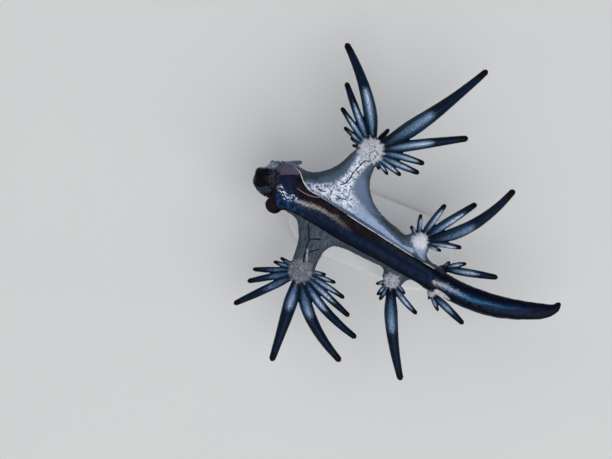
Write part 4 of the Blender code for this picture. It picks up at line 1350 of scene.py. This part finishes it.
def wrinkled(points, normals, marks):
    """The skin with its small folds and pimples, the cracks on the arms, the ridges along the cerata and the
    foot's margin, and dents in the gaps between cerata.
    """
    spots = [Vector(point) for point in points]
    folds = np.array([noise.noise(spot / FOLD_SIZE) for spot in spots])
    pimples = np.array([noise.noise(spot / PIMPLE_SIZE) for spot in spots])
    rise = (FOLD_HEIGHT * folds + PIMPLE_HEIGHT * pimples) * (1 - CERAS_SMOOTHNESS * marks["ceras"])
    rise = rise - CRACK_DEPTH * np.exp(-((marks["crack"] / CRACK_WIDTH) ** 2)) * marks["crack_near"]
    rise = rise + STREAK_HEIGHT * smooth_step(-0.1, 0.5, marks["ridge"]) * marks["ceras"]
    rise = rise - CREVICE_DEPTH * marks["crevice"]
    rise = rise + MARGIN_HEIGHT * np.exp(-((marks["margin"] / CRACK_WIDTH) ** 2)) * marks["margin_near"]
    return points + normals * rise[:, None]


def add_object(name, data):
    thing = bpy.data.objects.new(name, data)
    bpy.context.scene.collection.objects.link(thing)
    return thing


def make_skin():
    field = make_field()
    points, quads = skin_points(field)
    points = onto_skin(field, relaxed(points, quads))
    _, normals = sample(field, points)
    normals = normals / np.maximum(np.linalg.norm(normals, axis=1), 1e-6)[:, None]
    marks = make_marks(points, normals)
    points = wrinkled(points, normals, marks)
    mesh = bpy.data.meshes.new("sea_slug_skin")
    mesh.from_pydata((points * MM).tolist(), [], quads.tolist())
    mesh.shade_smooth()
    for name, values in marks.items():
        attribute = mesh.attributes.new(name, "FLOAT", "POINT")
        attribute.data.foreach_set("value", np.ascontiguousarray(values, dtype=np.float32))
    mesh.materials.append(make_skin_look())
    skin = add_object("sea_slug_skin", mesh)
    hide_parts(*[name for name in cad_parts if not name.startswith("stand_")])
    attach(skin, "root")


# Stand

BASE_LENGTH = 20.0
BASE_WIDTH = 9.0
BASE_THICK = 2.0
BASE_BEVEL = 0.35
BASE_CORNER_SIDES = 40
BEVEL_STEPS = 6
SHARP_ANGLE = 50
ROD_RADIUS = 0.7
ROD_SIDES = 48
ROD_X = (-6.0, 5.0)
ROD_SINK = 0.1
ROD_BELOW_AXIS = 0.8


def make_stand_look():
    look = Look("satin_acrylic")
    grain = look.noise(0.6, 4.0, 7.0)
    colour = look.over(linear(226, 227, 226), linear(236, 236, 234), grain)
    look.finish(colour, grain, 0.28, 0.42, look.noise(0.12, 2.0, 8.0), 0.01, 0.3)
    return look.material


def stand_piece(name, bm, material):
    bmesh.ops.recalc_face_normals(bm, faces=bm.faces)
    bm.transform(Matrix.Scale(MM, 4))
    mesh = bpy.data.meshes.new(name)
    bm.to_mesh(mesh)
    bm.free()
    mesh.shade_smooth()
    mesh.set_sharp_from_angle(angle=math.radians(SHARP_ANGLE))
    mesh.materials.append(material)
    return add_object(name, mesh)


def make_stand():
    material = make_stand_look()
    bm = bmesh.new()
    straight = (BASE_LENGTH - BASE_WIDTH) / 2
    outline = []
    for end in (1, -1):
        for i in range(BASE_CORNER_SIDES):
            angle = math.pi * i / (BASE_CORNER_SIDES - 1) - math.pi / 2
            x = end * (straight + BASE_WIDTH / 2 * math.cos(angle))
            outline.append(bm.verts.new((x, end * BASE_WIDTH / 2 * math.sin(angle), 0)))
    face = bm.faces.new(outline)
    raised = bmesh.ops.extrude_face_region(bm, geom=[face])
    verts = [item for item in raised["geom"] if isinstance(item, bmesh.types.BMVert)]
    bmesh.ops.translate(bm, verts=verts, vec=(0, 0, BASE_THICK))
    rim = [edge for edge in bm.edges if all(vert in verts for vert in edge.verts)]
    bmesh.ops.bevel(bm, geom=rim, offset=BASE_BEVEL, segments=BEVEL_STEPS, profile=0.5, affect="EDGES")
    base = stand_piece("display_base", bm, material)
    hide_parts("stand_base")
    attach(base, "root")
    trunk = body_rings(TRUNK)
    for node, x in zip(("stand_rod_front", "stand_rod_rear"), ROD_X):
        ring = ring_near(trunk, x)
        low = BASE_THICK - ROD_SINK
        high = ring.centre[2] - ROD_BELOW_AXIS
        bm = bmesh.new()
        bmesh.ops.create_cone(
            bm, cap_ends=True, segments=ROD_SIDES, radius1=ROD_RADIUS, radius2=ROD_RADIUS, depth=high - low,
            matrix=Matrix.Translation(((x, ring.centre[1], (low + high) / 2))),
        )
        rod = stand_piece(f"display_{node[6:]}", bm, material)
        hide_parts(node)
        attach(rod, "root")


# Floor, light and camera

FLOOR_SIZE = 2.0
FLOOR_ROUGHNESS = 0.85
PAPER = ((0.70, 0.70, 0.70), (0.74, 0.74, 0.735))
Light = namedtuple("Light", "name azimuth elevation distance size watts")
LIGHTS = (
    Light("key", -35, 58, 0.8, 0.85, 4.6),
    Light("fill", 150, 45, 0.9, 0.9, 1.6),
    Light("rim", 250, 35, 0.9, 0.8, 0.7),
)
SKY = (0.93, 0.96, 1.0, 1.0)
SKY_STRENGTH = 0.30
PHOTO_WIDTH = 612
PIXEL = 0.115
LOOK_AT = (-7.23, -2.36)
PHOTO_TURN = 22
CAMERA_HEIGHT = 0.45
SENSOR = 36.0


def make_floor():
    look = Look("floor_paper")
    look.feed(look.shader.inputs["Base Color"], look.over(*PAPER, look.noise(30, 2.0, 9.0)))
    look.feed(look.shader.inputs["Roughness"], FLOOR_ROUGHNESS)
    bpy.ops.mesh.primitive_plane_add(size=FLOOR_SIZE)
    floor = bpy.context.object
    floor.name = "floor"
    floor.data.materials.append(look.material)


def make_light():
    for light in LIGHTS:
        data = bpy.data.lights.new(light.name, "AREA")
        data.size = light.size
        data.energy = light.watts
        lamp = add_object(light.name, data)
        a = math.radians(light.azimuth)
        e = math.radians(light.elevation)
        direction = Vector((math.cos(a) * math.cos(e), math.sin(a) * math.cos(e), math.sin(e)))
        lamp.location = direction * light.distance
        lamp.rotation_euler = (-lamp.location).to_track_quat("-Z", "Y").to_euler()
    world = bpy.data.worlds.new("studio")
    world.use_nodes = True
    world.node_tree.nodes["Background"].inputs["Color"].default_value = SKY
    world.node_tree.nodes["Background"].inputs["Strength"].default_value = SKY_STRENGTH
    bpy.context.scene.world = world


def make_camera():
    data = bpy.data.cameras.new("camera")
    data.sensor_width = SENSOR
    distance = CAMERA_HEIGHT - BODY_HEIGHT * MM
    data.lens = SENSOR * distance / (PHOTO_WIDTH * PIXEL * MM)
    camera = add_object("camera", data)
    camera.location = (LOOK_AT[0] * MM, LOOK_AT[1] * MM, CAMERA_HEIGHT)
    camera.rotation_euler = (0, 0, math.radians(PHOTO_TURN))
    bpy.context.scene.camera = camera


make_skin()
make_stand()
make_floor()
make_light()
make_camera()
bpy.context.scene.view_settings.view_transform = "Standard"
